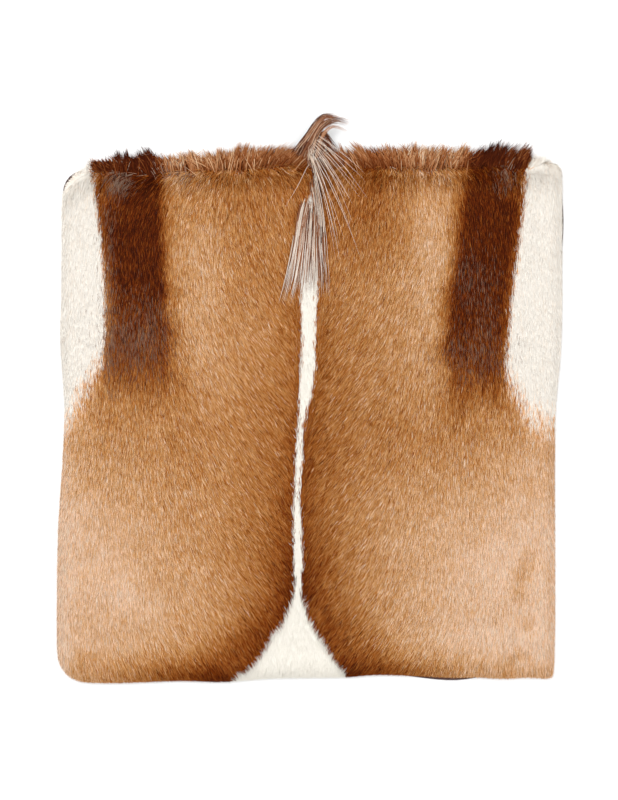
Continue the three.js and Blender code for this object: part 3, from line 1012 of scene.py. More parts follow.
class Tufts:
    """Small tufts all over the hide. A hair belongs to the tuft whose middle is nearest to its root."""

    CELLS = 256

    def __init__(self, draw: np.random.Generator, pitch: float) -> None:
        """Scatters the tufts' middles and draws their own numbers.

        Args:
            draw: the random numbers to use.
            pitch: about how far apart the tufts are, in millimetres.
        """
        self.pitch = pitch
        self.middles = draw.uniform(0, 1, (2, self.CELLS, self.CELLS))
        self.own = draw.normal(0, 1, (4, self.CELLS, self.CELLS))

    def of(self, x: Values, y: Values) -> tuple[Points, Points]:
        """Finds the tuft of each hair.

        Args:
            x, y: the roots' places, in millimetres.

        Returns:
            The way from each root to the middle of its tuft, and four numbers around 0 that its hairs share.
        """
        column, row = np.floor(x / self.pitch).astype(int), np.floor(y / self.pitch).astype(int)
        nearest = np.full(len(x), np.inf)
        to_middle, own = np.zeros((len(x), 3)), np.zeros((4, len(x)))
        for right in (-1, 0, 1):
            for up in (-1, 0, 1):
                c, r = (column + right) % self.CELLS, (row + up) % self.CELLS
                dx = (column + right + self.middles[0, c, r]) * self.pitch - x
                dy = (row + up + self.middles[1, c, r]) * self.pitch - y
                nearer = np.hypot(dx, dy) < nearest
                nearest = np.where(nearer, np.hypot(dx, dy), nearest)
                to_middle[nearer] = np.stack([dx, dy, np.zeros_like(dx)], axis=-1)[nearer]
                own[:, nearer] = self.own[:, c, r][:, nearer]
        return to_middle, own


# Pieces


class Zone(Enum):
    """The coat's parts, each with its share of the hairs, from the left edge to the right one."""

    LEFT_EDGE = "left_edge"
    LEFT_FLANK = "left_flank"
    LEFT_LOIN = "left_loin"
    LEFT_BACK = "left_back"
    RIGHT_BACK = "right_back"
    RIGHT_LOIN = "right_loin"
    RIGHT_FLANK = "right_flank"
    RIGHT_EDGE = "right_edge"


class Outline:
    """The hide's outline as seen from above, read from its points."""

    def __init__(self, points: Points, step: float = 6.0) -> None:
        """Reads how far the hide reaches at stations along each side.

        Args:
            points: the skin's points, in millimetres.
            step: the distance between the stations.
        """
        x, y = points[:, 0], points[:, 1]
        self.columns = np.arange(x.min() + step / 2, x.max(), step)
        self.rows = np.arange(y.min() + step / 2, y.max(), step)
        beside = [np.abs(x - column) < 0.75 * step for column in self.columns]
        level = [np.abs(y - row) < 0.75 * step for row in self.rows]
        self.bottom = np.array([y[chosen].min() for chosen in beside])
        self.top = np.array([y[chosen].max() for chosen in beside])
        self.left = np.array([x[chosen].min() for chosen in level])
        self.right = np.array([x[chosen].max() for chosen in level])

    def holds(self, points: Points, spare: Values) -> Values:
        """Tells which points lie inside the sides and the bottom edge.

        Args:
            points: the points, in millimetres.
            spare: how far outside each may lie.

        Returns:
            True for each point that does.
        """
        x, y = points[..., 0], points[..., 1]
        above = y > np.interp(x, self.columns, self.bottom) - spare
        right_of = x > np.interp(y, self.rows, self.left) - spare
        left_of = x < np.interp(y, self.rows, self.right) + spare
        return above & right_of & left_of


@dataclass
class Hide:
    """The front panel: a thin skin on the frame's folds, and the coat that is rooted all over it.

    lengths, widths and overhangs are the least and the most. Of other pairs, the first number is for the
    smooth coat and the second for the loose hair at the parting, but crossing_blurs are for the hairs that
    cross the parting and for the rest, and pale_to is where hair stops being pale. Leans are in degrees.
    """

    node: bpy.types.Object
    seed: int = 11
    hairs: int = 372_000
    coat_depth: float = 2.4
    rim_depth: float = 1.0
    hair_length: float = 8.6
    lengths: tuple[float, float] = (0.75, 1.2)
    rim_length: float = 0.65
    loose_length: float = 0.45
    hair_width: float = 0.68
    widths: tuple[float, float] = (0.75, 1.3)
    loose_width: float = 0.25
    overhangs: tuple[float, float] = (0.2, 1.6)
    lowest_tip: float = 0.4
    shows_at: float = 0.62
    tuft_pitches: tuple[float, float] = (1.5, 3.2)
    tuft_pull: float = 0.65
    loose_reach: float = 16.0
    stray: float = 0.8
    parting_blur: float = 2.8
    tuft_blur: float = 0.7
    crossing_share: float = 0.4
    crossing_blurs: tuple[float, float] = (2.2, 0.6)
    own_lean: tuple[float, float] = (5.0, 18.0)
    tuft_lean: tuple[float, float] = (3.0, 11.0)
    rise: float = 8.0
    own_rise: float = 2.5
    tuft_rise: float = 1.5
    loose_rise: float = 16.0
    tuft_ragged: float = 0.5
    own_spread: float = 1.5
    tuft_spread: tuple[float, float] = (0.35, 1.2)
    # How far a tuft moves its greyish hair, partly painted sheen, along the palette's end.
    tuft_sheen_and_grey: float = 0.3
    # Painted light: hair is darker at the root, a painted shade between the hairs, and its tip is lit
    # unevenly at random.
    root_light: tuple[float, float] = (0.12, 0.42)
    white_root_light: float = 0.88
    tip_light: float = 0.82
    white_tip_light: float = 0.95
    darkest_tip: float = 0.3
    own_light: float = 0.23
    tuft_light: tuple[float, float] = (0.07, 0.2)
    pale_evenness: float = 0.6
    pale_to: tuple[float, float] = (0.15, 0.4)
    # Ridges and, with a minus, troughs of the skin.
    creases: tuple[Patch, ...] = (
        Patch(181, -214, 3.5, 14, -1.8, -24),
        Patch(189, -203, 6, 15, 1.0, -28),
        Patch(-202, -124, 9, 6, -1.0),
        Patch(-186, -186, 4, 24, -0.9, 6),
        Patch(-176, -180, 5, 26, 0.6, 6),
        Patch(-172, -134, 8, 6, -0.7),
        Patch(193, -134, 4, 22, -1.1, -14),
        Patch(195, -180, 6, 5, -0.9),
        Patch(-152, 40, 5, 60, 0.5, 2),
        Patch(60, -225, 22, 3, 0.6),
    )
    skin: bpy.types.Object = field(init=False)
    outline: Outline = field(init=False)
    fold_roots: Points = field(init=False)
    fold_facing: Points = field(init=False)

    def __post_init__(self) -> None:
        """Seeds the hide's own random numbers."""
        self.random = np.random.default_rng(self.seed)

    def build(self) -> list[bpy.types.Object]:
        """Makes and dresses the skin and the coat.

        Returns:
            The pieces of the coat.
        """
        self.skin = self._skin()
        self.outline = Outline(places(self.skin.data))
        coat = self._coat()
        material = HairFinish("antelope_coat").material()
        bounds = np.quantile(coat.paths[:, 0, 0], np.linspace(0, 1, len(Zone) + 1))
        zone_of = np.searchsorted(bounds[1:-1], coat.paths[:, 0, 0])
        pieces = []
        for number, zone in enumerate(Zone):
            piece = coat.part(zone_of == number).as_piece(f"coat_{zone.value}")
            dress(piece, material)
            pieces.append(piece)
        return pieces

    def _skin(self) -> bpy.types.Object:
        """Makes and dresses the skin, let down under the coat's depth and creased where the photo shows it.

        Returns:
            The skin.
        """
        skin = copy_of_node(self.node, "hide_skin")
        smooth = skin.modifiers.new("rounded", "SUBSURF")
        smooth.levels = smooth.render_levels = 1
        bpy.ops.object.modifier_apply(modifier=smooth.name)
        points, facing = places(skin.data), normals(skin.data)
        upward = ease(facing[:, 2] / 0.8)
        beside = (1 - np.abs(facing[:, 2])) * self.rim_depth
        depth = upward * self.coat_depth
        x, y = points[:, 0].copy(), points[:, 1].copy()
        points -= facing * np.maximum(depth, beside)[:, None]
        points[:, 2] += upward * patched(self.creases, x, y)
        place(skin.data, points)
        bpy.ops.object.shade_smooth()
        shade_skin(skin, x, y)
        dress(skin, SkinFinish().material(), "hide_front")
        return skin

    def _roots(self) -> tuple[Points, Points]:
        """Spreads roots evenly over the skin's haired side.

        Returns:
            The roots, and the way that the skin faces there.
        """
        mesh = self.skin.data
        mesh.calc_loop_triangles()
        corners = np.empty(len(mesh.loop_triangles) * 3, np.int32)
        mesh.loop_triangles.foreach_get("vertices", corners)
        points, facing = places(mesh)[corners].reshape(-1, 3, 3), normals(mesh)[corners].reshape(-1, 3, 3)
        haired = facing[:, :, 2].mean(1) > -0.1
        points, facing = points[haired], facing[haired]
        area = np.linalg.norm(np.cross(points[:, 1] - points[:, 0], points[:, 2] - points[:, 0]), axis=1) / 2
        ends = np.cumsum(area)
        drawn = (np.arange(self.hairs) + self.random.random(self.hairs)) * ends[-1] / self.hairs
        face = np.minimum(np.searchsorted(ends, drawn), len(ends) - 1)
        first, second = self.random.random((2, self.hairs))
        over = first + second > 1
        first, second = np.where(over, 1 - first, first), np.where(over, 1 - second, second)
        weights = np.stack([1 - first - second, first, second], axis=1)[..., None]
        return (points[face] * weights).sum(1), unit((facing[face] * weights).sum(1))

    def _coat(self) -> Hairs:
        """Sorts the roots into tufts, and keeps those on the top fold for the fringe.

        Returns:
            The hairs of the coat.
        """
        roots, facing = self._roots()
        draw = self.random
        loose = np.exp(-np.maximum(PARTING.at(roots[:, 0]) - roots[:, 1], 0) / self.loose_reach)
        (to_middle, tuft), (to_large, large) = (Tufts(draw, p).of(*roots.T[:2]) for p in self.tuft_pitches)
        in_large = draw.random(len(roots)) < loose
        to_middle, tuft = np.where(in_large[:, None], to_large, to_middle), np.where(in_large, large, tuft)
        crossing = np.where(draw.random(len(roots)) < self.crossing_share, *self.crossing_blurs)
        blur = self.parting_blur * (self.tuft_blur * tuft[3] + crossing * draw.normal(0, 1, len(roots)))
        fold = roots[:, 1] > PARTING.at(roots[:, 0]) + blur
        fold = fold & (roots[:, 0] > FRINGE_FROM) & (roots[:, 0] < FRINGE_TO)
        self.fold_roots, self.fold_facing = roots[fold], facing[fold]
        return self._combed(roots[~fold], facing[~fold], to_middle[~fold], tuft[:, ~fold], loose[~fold])

    def _combed(self, roots: Points, facing: Points, to_middle: Points, tuft: Values, loose: Values) -> Hairs:
        """Makes the hairs that lie down the hide.

        Args:
            roots: where they are rooted.
            facing: the way that the skin faces there.
            to_middle: the way from each root to the middle of its tuft.
            tuft: four numbers around 0 that the hairs of a tuft share.
            loose: how loose the coat is, from 0 to 1 at the parting.

        Returns:
            The hairs.
        """
        draw, count = self.random, len(roots)
        x, y = roots[:, 0], roots[:, 1]
        white = PATTERN.white(x, y, np.zeros_like(x))
        level = ease((facing[:, 2] - 0.2) / 0.75)
        lean = blend(*self.own_lean, loose**2) * draw.normal(0, 1, count)
        along = FLOW.along(x, y, lean + blend(*self.tuft_lean, loose) * tuft[0])
        along = unit(along - (along * facing).sum(1, keepdims=True) * facing)
        lift = np.abs(draw.normal(self.rise, self.own_rise, count) + self.tuft_rise * tuft[3])
        lift = np.radians(lift + self.loose_rise * loose**2.7)
        length = self.hair_length * blend(self.rim_length, 1.0, level) * draw.uniform(*self.lengths, count)
        length = length * (1 + self.loose_length * loose)
        way = along * np.cos(lift)[:, None] + facing * np.sin(lift)[:, None]
        stroke = way * length[:, None] + to_middle * (self.tuft_pull * level)[:, None]
        kept = self._kept_inside(roots, stroke, draw.uniform(*self.overhangs, count))
        tips = roots + kept[:, None] * stroke
        tips[:, 2] = np.maximum(tips[:, 2], self.lowest_tip)
        shown = roots + self.shows_at * (tips - roots)
        shown[:, 0] += self.stray * tuft[3]
        ragged = np.clip(draw.uniform(-1, 1, count) + self.tuft_ragged * tuft[0], -2, 2)
        spread = self.own_spread * draw.normal(0, 1, count) + blend(*self.tuft_spread, loose) * tuft[1]
        shade = PATTERN.shade(shown[:, 0], shown[:, 1], ragged, spread)
        # Greyish hair, partly painted sheen, takes the palette's end.
        sheen_and_grey = blend(*SHEEN_AND_GREY_SHADES, np.clip(loose + self.tuft_sheen_and_grey * tuft[2], 0, 1))
        shade = np.where(PATTERN.sheen_and_grey_hairs(shown[:, 0], shown[:, 1], draw.random(count)), sheen_and_grey, shade)
        width = self.hair_width * draw.uniform(*self.widths, count) * (1 + self.loose_width * loose)
        # Painted shade at the roots, weaker under white hair, and painted light at the tips that varies at
        # random.
        root_light = blend(blend(*self.root_light, loose), self.white_root_light, white)
        pale, plain = self.pale_to
        uneven = blend(self.pale_evenness, 1.0, ease((shade - pale) / (plain - pale)))
        light = blend(*self.tuft_light, loose) * tuft[2] + self.own_light * draw.normal(0, 1, count)
        tip_light = blend(self.tip_light + uneven * light, self.white_tip_light, white)
        return Hairs(
            np.stack([roots - 0.3 * facing, tips], axis=1),
            facing,
            width,
            np.stack([shade, shade], axis=1),
            np.stack([root_light, np.clip(tip_light, self.darkest_tip, 1.0)], axis=1),
            open_beneath=True,
        )

    def _kept_inside(self, roots: Points, strokes: Points, spare: Values) -> Values:
        """Shortens the strokes that would end too far outside the outline.

        Args:
            roots: where the strokes start.
            strokes: the way from each root to its tip.
            spare: how far outside each may end.

        Returns:
            The share of each stroke that is kept.
        """
        kept = np.full(len(roots), 0.2)
        for share in (0.35, 0.5, 0.65, 0.8, 0.9, 1.0):
            kept = np.where(self.outline.holds(roots + share * strokes, spare), share, kept)
        return kept


@dataclass
class Fringe:
    """The hair of the top fold, above the parting. It stands up and out over the edge in pointed tufts.

    A share of the hairs stands apart, each at its own lean, and the others keep to their tufts. own_leans and
    gathered are for a hair apart and for one in a tuft. fall is at the dark ends and between them, and
    changes are for plain and for dark hair, at its root and tip. Leans are in degrees.
    """

    TUFTS: ClassVar[int] = 512

    node: bpy.types.Object
    hide: Hide
    seed: int = 23
    tips: Line = Line(
        (-199, 235), (-188, 234), (-180, 235.5), (-175, 233), (-173, 249.5), (-166, 249), (-161, 244.5),
        (-156, 246.6), (-150, 248), (-141, 251), (-134, 247.4), (-129, 243.5), (-122, 246), (-117, 241.5),
        (-113, 243), (-109, 249), (-100, 247), (-92, 244), (-83, 249), (-70, 251), (-53, 254), (-39, 252),
        (-25, 253), (-16, 250), (10, 246), (22, 245), (26, 246), (31, 252.5), (37, 246.5), (44, 247),
        (50, 249.5), (57, 252), (71, 252), (103, 254), (117, 253), (129, 251), (141, 253), (155, 256),
        (169, 258), (178, 250), (186, 255), (196, 248), (201, 244),
    )
    strip_hairs: int = 5400
    strip_reach: float = 3.6
    strip_end: float = 238.5
    strip_heights: tuple[float, float] = (6.6, 4.6)
    strip_overlap: tuple[float, float] = (3.0, 1.5)
    tuft_pitch: float = 4.2
    apart: float = 0.42
    own_leans: tuple[float, float] = (24.0, 4.0)
    tuft_lean: float = 8.0
    gathered: tuple[float, float] = (0.2, 0.9)
    more_reach: float = 0.4
    tuft_reach: float = 2.0
    apart_falls: float = 1.8
    dark_ends: tuple[float, float] = (-130.0, 137.0)
    fall: tuple[float, float] = (3.2, 1.4)
    spike: float = 4.5
    spike_share: float = 0.07
    run_limits: tuple[float, float] = (3.5, 30.0)
    runs: tuple[float, float] = (0.6, 1.04)
    furthest_sideways: float = 20.0
    past_ends: float = 8.0
    rise: float = 2.6
    rises: tuple[float, float] = (0.5, 1.5)
    tip_rises: tuple[float, float] = (-0.2, 0.9)
    lowest: float = 2.2
    width: float = 0.8
    widths: tuple[float, float] = (0.75, 1.3)
    shade_level: float = 226.0
    own_spread: float = 1.3
    tuft_spread: float = 0.5
    # Of the greyish hairs, which are partly painted sheen: how many are kept and how long they are.
    sheen_and_grey_share: float = 0.3
    sheen_and_grey_length: float = 0.65
    # Painted light: darker at the root, a painted shade between the hairs, with tips lit unevenly at random.
    root_light: float = 0.5
    tip_light: float = 0.8
    tuft_light: float = 0.14
    own_light: float = 0.18
    darkest_tip: float = 0.3
    dark_from: float = 0.8
    changes: tuple[tuple[float, float], tuple[float, float]] = ((0.15, -0.13), (-0.04, 0.10))

    def build(self) -> None:
        """Makes and dresses the fringe and the strip that carries it."""
        self._strip()
        piece = self._hairs(np.random.default_rng(self.seed)).as_piece("fringe_hair")
        dress(piece, HairFinish("fringe_hair", FRINGE_SHADES).material())

    def _hairs(self, draw: np.random.Generator) -> Hairs:
        """Makes the hairs: each rises from its root, passes a point halfway and ends near the line of tips.

        Args:
            draw: the fringe's random numbers.

        Returns:
            The hairs.
        """
        roots, facing = self._roots(draw)
        count = len(roots)
        x, y = roots[:, 0], roots[:, 1]
        number = np.floor(x / self.tuft_pitch + 0.4 * np.sin(y * 1.3)).astype(int)
        off = (number + 0.5) * self.tuft_pitch - x
        tuft = draw.normal(0, 1, (4, self.TUFTS))[:, number % self.TUFTS]
        apart = draw.random(count) < self.apart
        alone, in_tuft = draw.normal(0, 1, (2, count)) * np.array(self.own_leans)[:, None]
        lean = FLOW.up.at(x) + np.where(apart, alone, self.tuft_lean * tuft[0] + in_tuft)
        fall = np.where((x < self.dark_ends[0]) | (x > self.dark_ends[1]), *self.fall)
        less = np.where(apart, -self.apart_falls * fall, self.tuft_reach * tuft[1] - fall * np.abs(off))
        reach = self.tips.at(x) + self.more_reach + less
        reach = reach + self.spike * (draw.random(count) < self.spike_share)
        run = np.clip(reach - y, *self.run_limits) * draw.uniform(*self.runs, count)
        sideways = np.clip(np.tan(np.radians(lean)) * run, -self.furthest_sideways, self.furthest_sideways)
        sideways = sideways + np.where(apart, *self.gathered) * off
        spare = draw.uniform(0.0, self.past_ends, count)
        sideways = np.clip(sideways, FRINGE_FROM - spare - x, FRINGE_TO + spare - x)
        lift = self.rise * draw.uniform(*self.rises, count)
        halfway = roots + np.stack([0.42 * sideways, 0.5 * run, lift], axis=1)
        ends = roots + np.stack([sideways, run, lift * draw.uniform(*self.tip_rises, count)], axis=1)
        for points in (halfway, ends):
            points[:, 2] = np.maximum(points[:, 2], self.lowest)
        spread = self.own_spread * draw.normal(0, 1, count) + self.tuft_spread * tuft[2]
        shades, sheen_and_grey_hairs = self._shades(draw, x, x + 0.35 * sideways, spread)
        ends[sheen_and_grey_hairs] = blend(roots, ends, self.sheen_and_grey_length)[sheen_and_grey_hairs]
        tip_light = self.tip_light + self.tuft_light * tuft[3] + self.own_light * draw.normal(0, 1, count)
        tip_light = np.clip(tip_light, self.darkest_tip, 1.0)
        return Hairs(
            np.stack([roots - 0.4 * facing, halfway, ends], axis=1),
            np.tile([0.0, 0.0, 1.0], (count, 1)),
            self.width * draw.uniform(*self.widths, count),
            shades,
            np.stack([np.full(count, self.root_light), tip_light], axis=1),
        )

    def _shades(
        self, draw: np.random.Generator, x: Values, over: Values, spread: Values
    ) -> tuple[Points, Values]:
        """Tells the hairs their shades.

        Args:
            draw: the fringe's random numbers.
            x: where the hairs are rooted along the edge.
            over: where along the edge they show.
            spread: a random number around 0 for each hair.

        Returns:
            The shades at root and tip, and which hairs are greyish, partly with painted sheen.
        """
        count, level = len(x), np.full(len(x), self.shade_level)
        over = np.clip(over, FRINGE_FROM + 4, FRINGE_TO - 4)
        shade = PATTERN.shade(over, level, draw.uniform(-1, 1, count), spread)
        change = np.where(shade[:, None] < self.dark_from, *np.array(self.changes)[:, None])
        shades = np.clip(shade[:, None] + change, *PLAIN_SHADES)
        # Some hairs turn greyish, partly as painted sheen.
        sheen_and_grey_hairs = PATTERN.sheen_and_grey_hairs(x, level, draw.random(count)) & (draw.random(count) < self.sheen_and_grey_share)
        shades[sheen_and_grey_hairs] = blend(*SHEEN_AND_GREY_SHADES, 0.4 * draw.random(count))[sheen_and_grey_hairs, None]
        return shades, sheen_and_grey_hairs

    def _roots(self, draw: np.random.Generator) -> tuple[Points, Points]:
        """Gathers the fringe's roots, on the hide's top fold and on the strip.

        Args:
            draw: the fringe's random numbers.

        Returns:
            The roots, and the way that they face.
        """
        outline = self.hide.outline
        x = draw.uniform(FRINGE_FROM, FRINGE_TO, self.strip_hairs)
        out = draw.random(self.strip_hairs)
        edge = np.interp(x, outline.columns, outline.top)
        overlap, uneven = self.strip_overlap
        lowest = edge - overlap + draw.normal(0, uneven, self.strip_hairs)
        y = blend(lowest, edge + self.strip_reach, out)
        on_strip = np.stack([x, y, blend(*self.strip_heights, out)], axis=1)
        up = np.tile([0.0, 0.35, 0.94], (self.strip_hairs, 1))
        return np.concatenate([self.hide.fold_roots, on_strip]), np.concatenate([self.hide.fold_facing, up])

    def _strip(self) -> None:
        """Makes and dresses the narrow strip of hide that the fringe is rooted in, from the node's strip."""
        strip = copy_of_node(self.node, "fringe_strip")
        bpy.ops.object.mode_set(mode="EDIT")
        for at, outward in (
            ((0, self.strip_end * MM, 0), (0, 1, 0)),
            ((FRINGE_FROM * MM, 0, 0), (-1, 0, 0)),
            ((FRINGE_TO * MM, 0, 0), (1, 0, 0)),
        ):
            bpy.ops.mesh.select_all(action="SELECT")
            bpy.ops.mesh.bisect(plane_co=at, plane_no=outward, use_fill=True, clear_outer=True)
        bpy.ops.object.mode_set(mode="OBJECT")
        points = places(strip.data)
        shade_skin(strip, points[:, 0], np.full(len(points), self.shade_level))
        dress(strip, SkinFinish("fringe_underhair_shaded").material(), "top_fringe")


@dataclass(frozen=True)
class Lock:
    """A lock of long hair between two edges that run through the same number of stations.

    A station is (x, y, z) in millimetres. shades are (share of the strands, lowest, highest). A strand starts
    up to starts of the way along its path and stops somewhere between ends, and its root dips this far into
    the coat. changes are added to its shade at the root and at the tip, and loose is how far it strays.
    """

    strands: int
    outer: tuple[tuple[float, float, float], ...]
    inner: tuple[tuple[float, float, float], ...]
    shades: tuple[tuple[float, float, float], ...]
    width: float
    ends: tuple[float, float] = (0.8, 1.0)
    loose: float = 1.0
    # Strands are painted darker at the root, a painted shade where they enter the coat.
    root_light: float = 0.3
    starts: float = 0.0
    dip: float = 0.0
    changes: tuple[float, float] = (0.0, 0.0)

    def hairs(self, draw: np.random.Generator, steps: int) -> Hairs:
        """Makes the strands of the lock.

        Args:
            draw: the crest's random numbers.
            steps: the number of steps along each strand.

        Returns:
            The strands.
        """
        count = self.strands
        across = (np.arange(count) + draw.random(count)) / count
        outer, inner = np.array(self.outer), np.array(self.inner)
        stations = blend(outer, inner, across[:, None, None])
        growing = np.linspace(0.25, 1.0, len(outer))[None, :, None]
        wander = draw.normal(0, 1, (count, 1, 3)) + 0.5 * draw.normal(0, 1, stations.shape)
        stations = stations + wander * growing * self.loose * np.array([1.0, 1.0, 0.35])
        stations[..., 2] = np.maximum(stations[..., 2], outer[:, 2].min() - 0.5)
        starts, ends = draw.uniform(0, self.starts, (count, 1)), draw.uniform(*self.ends, (count, 1))
        shares = blend(starts, ends, np.linspace(0, 1, steps + 1))
        kinds = np.array(self.shades)
        kind = draw.choice(len(kinds), count, p=kinds[:, 0] / kinds[:, 0].sum())
        shade = blend(kinds[kind, 1], kinds[kind, 2], draw.random(count))
        paths = along_curves(stations, shares)
        paths[:, 0, 2] -= self.dip
        return Hairs(
            paths,
            np.tile([0.0, 0.0, 1.0], (count, 1)),
            self.width * draw.uniform(0.7, 1.25, count),
            np.clip(shade[:, None] + self.changes, 0.01, 0.99),
            np.stack([np.full(count, self.root_light), draw.uniform(0.6, 1.0, count)], axis=1),
        )


@dataclass
class Crest:
    """The long hair at the top of the middle line: a curled plume, a fan of bristles and a skirt.

    A bristle rises from its base to the crown and runs over the coat to its end. bristle_stations are (share
    of the way from crown to end, share of the bow, height, how much lower for the last bristle), and
    bristle_base is the ranges of x and y and the height.
    """

    node: bpy.types.Object
    seed: int = 31
    steps: int = 7
    locks: tuple[Lock, ...] = (
        # The plume, which curls up and over to the right.
        Lock(
            180,
            (
                (-23, 235, 7.5), (-14, 247, 11), (-5, 257.5, 14), (2, 266.5, 16), (7.5, 274, 16.4),
                (14, 277.6, 16), (24, 275.8, 14.5), (43.5, 268.8, 12),
            ),
            (
                (2, 230, 8), (4, 243, 12.5), (6, 253, 14.5), (9, 261.5, 15), (13, 266.5, 15), (20, 270, 14.5),
                (28, 271.2, 13.5), (42.5, 268.2, 12),
            ),
            ((0.46, 0.48, 0.64), (0.22, 0.24, 0.40), (0.32, 0.72, 0.90)),
            width=0.6, ends=(0.74, 1.0), loose=1.4, root_light=0.2, starts=0.22, dip=2.5, changes=(0.0, 0.2),
        ),
        # A thin curl under the plume.
        Lock(
            14,
            ((4, 238, 10), (8, 255, 14), (15, 266, 14.5), (24, 268.2, 13), (38, 261, 10)),
            ((6, 236, 10), (10.5, 253, 13.5), (16.8, 263.5, 14), (24, 265.5, 12.5), (37, 260, 10)),
            ((1.0, 0.36, 0.60),),
            width=0.5, ends=(0.85, 1.0), loose=0.6, root_light=0.5,
        ),
        # The dark wedge of hair in the plume's shade.
        Lock(
            120,
            ((2, 234, 8), (5.5, 252, 12.5), (12, 263, 13.8), (18, 256, 12), (28, 243.5, 8)),
            ((8, 230, 8), (10.5, 242, 11), (13.5, 248.5, 11.5), (17, 244, 10), (22, 238, 7.5)),
            ((0.70, 0.78, 0.95), (0.30, 0.58, 0.72)),
            width=0.75, ends=(0.7, 1.0), loose=0.8,
        ),
        # The dark and pale under-hair of the fan.
        Lock(
            90,
            ((4, 232, 8), (11, 240, 12), (22, 228, 12), (34, 214, 11)),
            ((1, 231, 8), (3, 232, 12), (7, 196, 12.5), (13, 155, 11.5)),
            ((0.55, 0.82, 0.98), (0.35, 0.54, 0.70), (0.10, 0.10, 0.30)),
            width=0.6, ends=(0.4, 0.9), loose=1.2,
        ),
        # The swirl where the fan starts.
        Lock(
            36,
            ((-5, 238, 8), (-2, 236, 11), (1, 229, 12.6), (4, 222, 12.4)),
            ((4, 250, 11), (3, 242, 13), (5, 234, 13.6), (8, 226, 12.6)),
            ((0.30, 0.08, 0.28), (0.70, 0.60, 0.95)),
            width=0.5, ends=(0.6, 1.0), loose=1.6, root_light=0.25,
        ),
        # The upper part of the skirt.
        Lock(
            64,
            ((0, 230, 7.5), (0, 214, 10.4), (2.5, 199, 11.6), (5, 182, 11.4)),
            ((7, 230, 7.5), (9, 214, 10.4), (11.5, 199, 11.6), (14, 180, 11.2)),
            ((0.46, 0.06, 0.28), (0.32, 0.42, 0.62), (0.22, 0.70, 0.95)),
            width=0.6, ends=(0.5, 1.0), loose=0.9, root_light=0.2, starts=0.6, dip=2.0, changes=(0.1, 0.0),
        ),
        # The skirt, which spreads over the stripe.
        Lock(
            300,
            ((-2, 211, 7), (-10, 190, 10.8), (-14.5, 160, 11.6), (-21, 130, 11.4), (-28, 105, 10.6)),
            ((9, 209, 7), (11, 188, 10.8), (11.8, 160, 11.6), (14.3, 138, 11.4), (16.5, 112, 10.6)),
            ((0.50, 0.01, 0.14), (0.28, 0.40, 0.56), (0.22, 0.62, 0.88)),
            width=0.66, ends=(0.6, 1.0), loose=1.2, root_light=0.15, starts=0.5, dip=2.8,
            changes=(0.14, -0.02),
        ),
    )
    bristle_ends: tuple[tuple[float, float], ...] = (
        (48.6, 225), (38.4, 221.7), (48.6, 218.7), (42.3, 210.6), (50.4, 203.4), (44.1, 203.4), (34.2, 203.4),
        (32.4, 202), (36.9, 198.9), (37.8, 180.9), (36.9, 171.9), (20.7, 175.5), (44.6, 149.4), (30.6, 163.8),
        (25.2, 162.9), (21.6, 165.6), (27.0, 143.1), (22.5, 146.7), (14.4, 140.4), (17.1, 115.2),
    )
    bristle_crown: tuple[tuple[float, float], tuple[float, float]] = ((4.6, 257.5), (1.0, 236.0))
    lone_bristle: tuple[tuple[float, float, float], ...] = (
        (1.5, 232, 8), (-1.5, 233, 12), (-9, 217, 12.2), (-16, 205, 12), (-23, 193.5, 11.4),
    )
    bristle_base: tuple[tuple[float, float], tuple[float, float], float] = ((-1.0, 5.0), (230.0, 234.0), 8.0)
    bristle_stations: tuple[tuple[float, float, float, float], ...] = (
        (0.0, 0.0, 15.2, 1.6), (0.35, 1.0, 14.4, 1.2), (0.7, 0.8, 13.2, 0.8), (1.0, 0.0, 11.6, 0.0),
    )
    bristle_bow: float = 0.03
    bristle_reach: float = 1.05
    bristle_width: float = 0.5
    bristle_shades: tuple[float, float] = (0.01, 0.16)
    root_darker: float = 0.2
    crown_spread: float = 1.6
    thin_bristles: int = 5
    thin_width: float = 0.7
    thin_reach: tuple[float, float] = (0.6, 0.97)
    thin_stray: float = 3.0
    lone_width: float = 0.8

    def build(self) -> None:
        """Makes and dresses the crest."""
        draw = np.random.default_rng(self.seed)
        first, *others = [lock.hairs(draw, self.steps) for lock in self.locks]
        hairs = first.with_others(*others, self._bristles(draw))
        hairs.thickness = 0.5
        hairs.roundness = 0.3
        piece = hairs.as_piece("crest_hair")
        finish = HairFinish("crest_hair", CREST_SHADES, gain=0.92, roughness=0.42, shine=0.15)
        dress(piece, finish.material(), "crest")

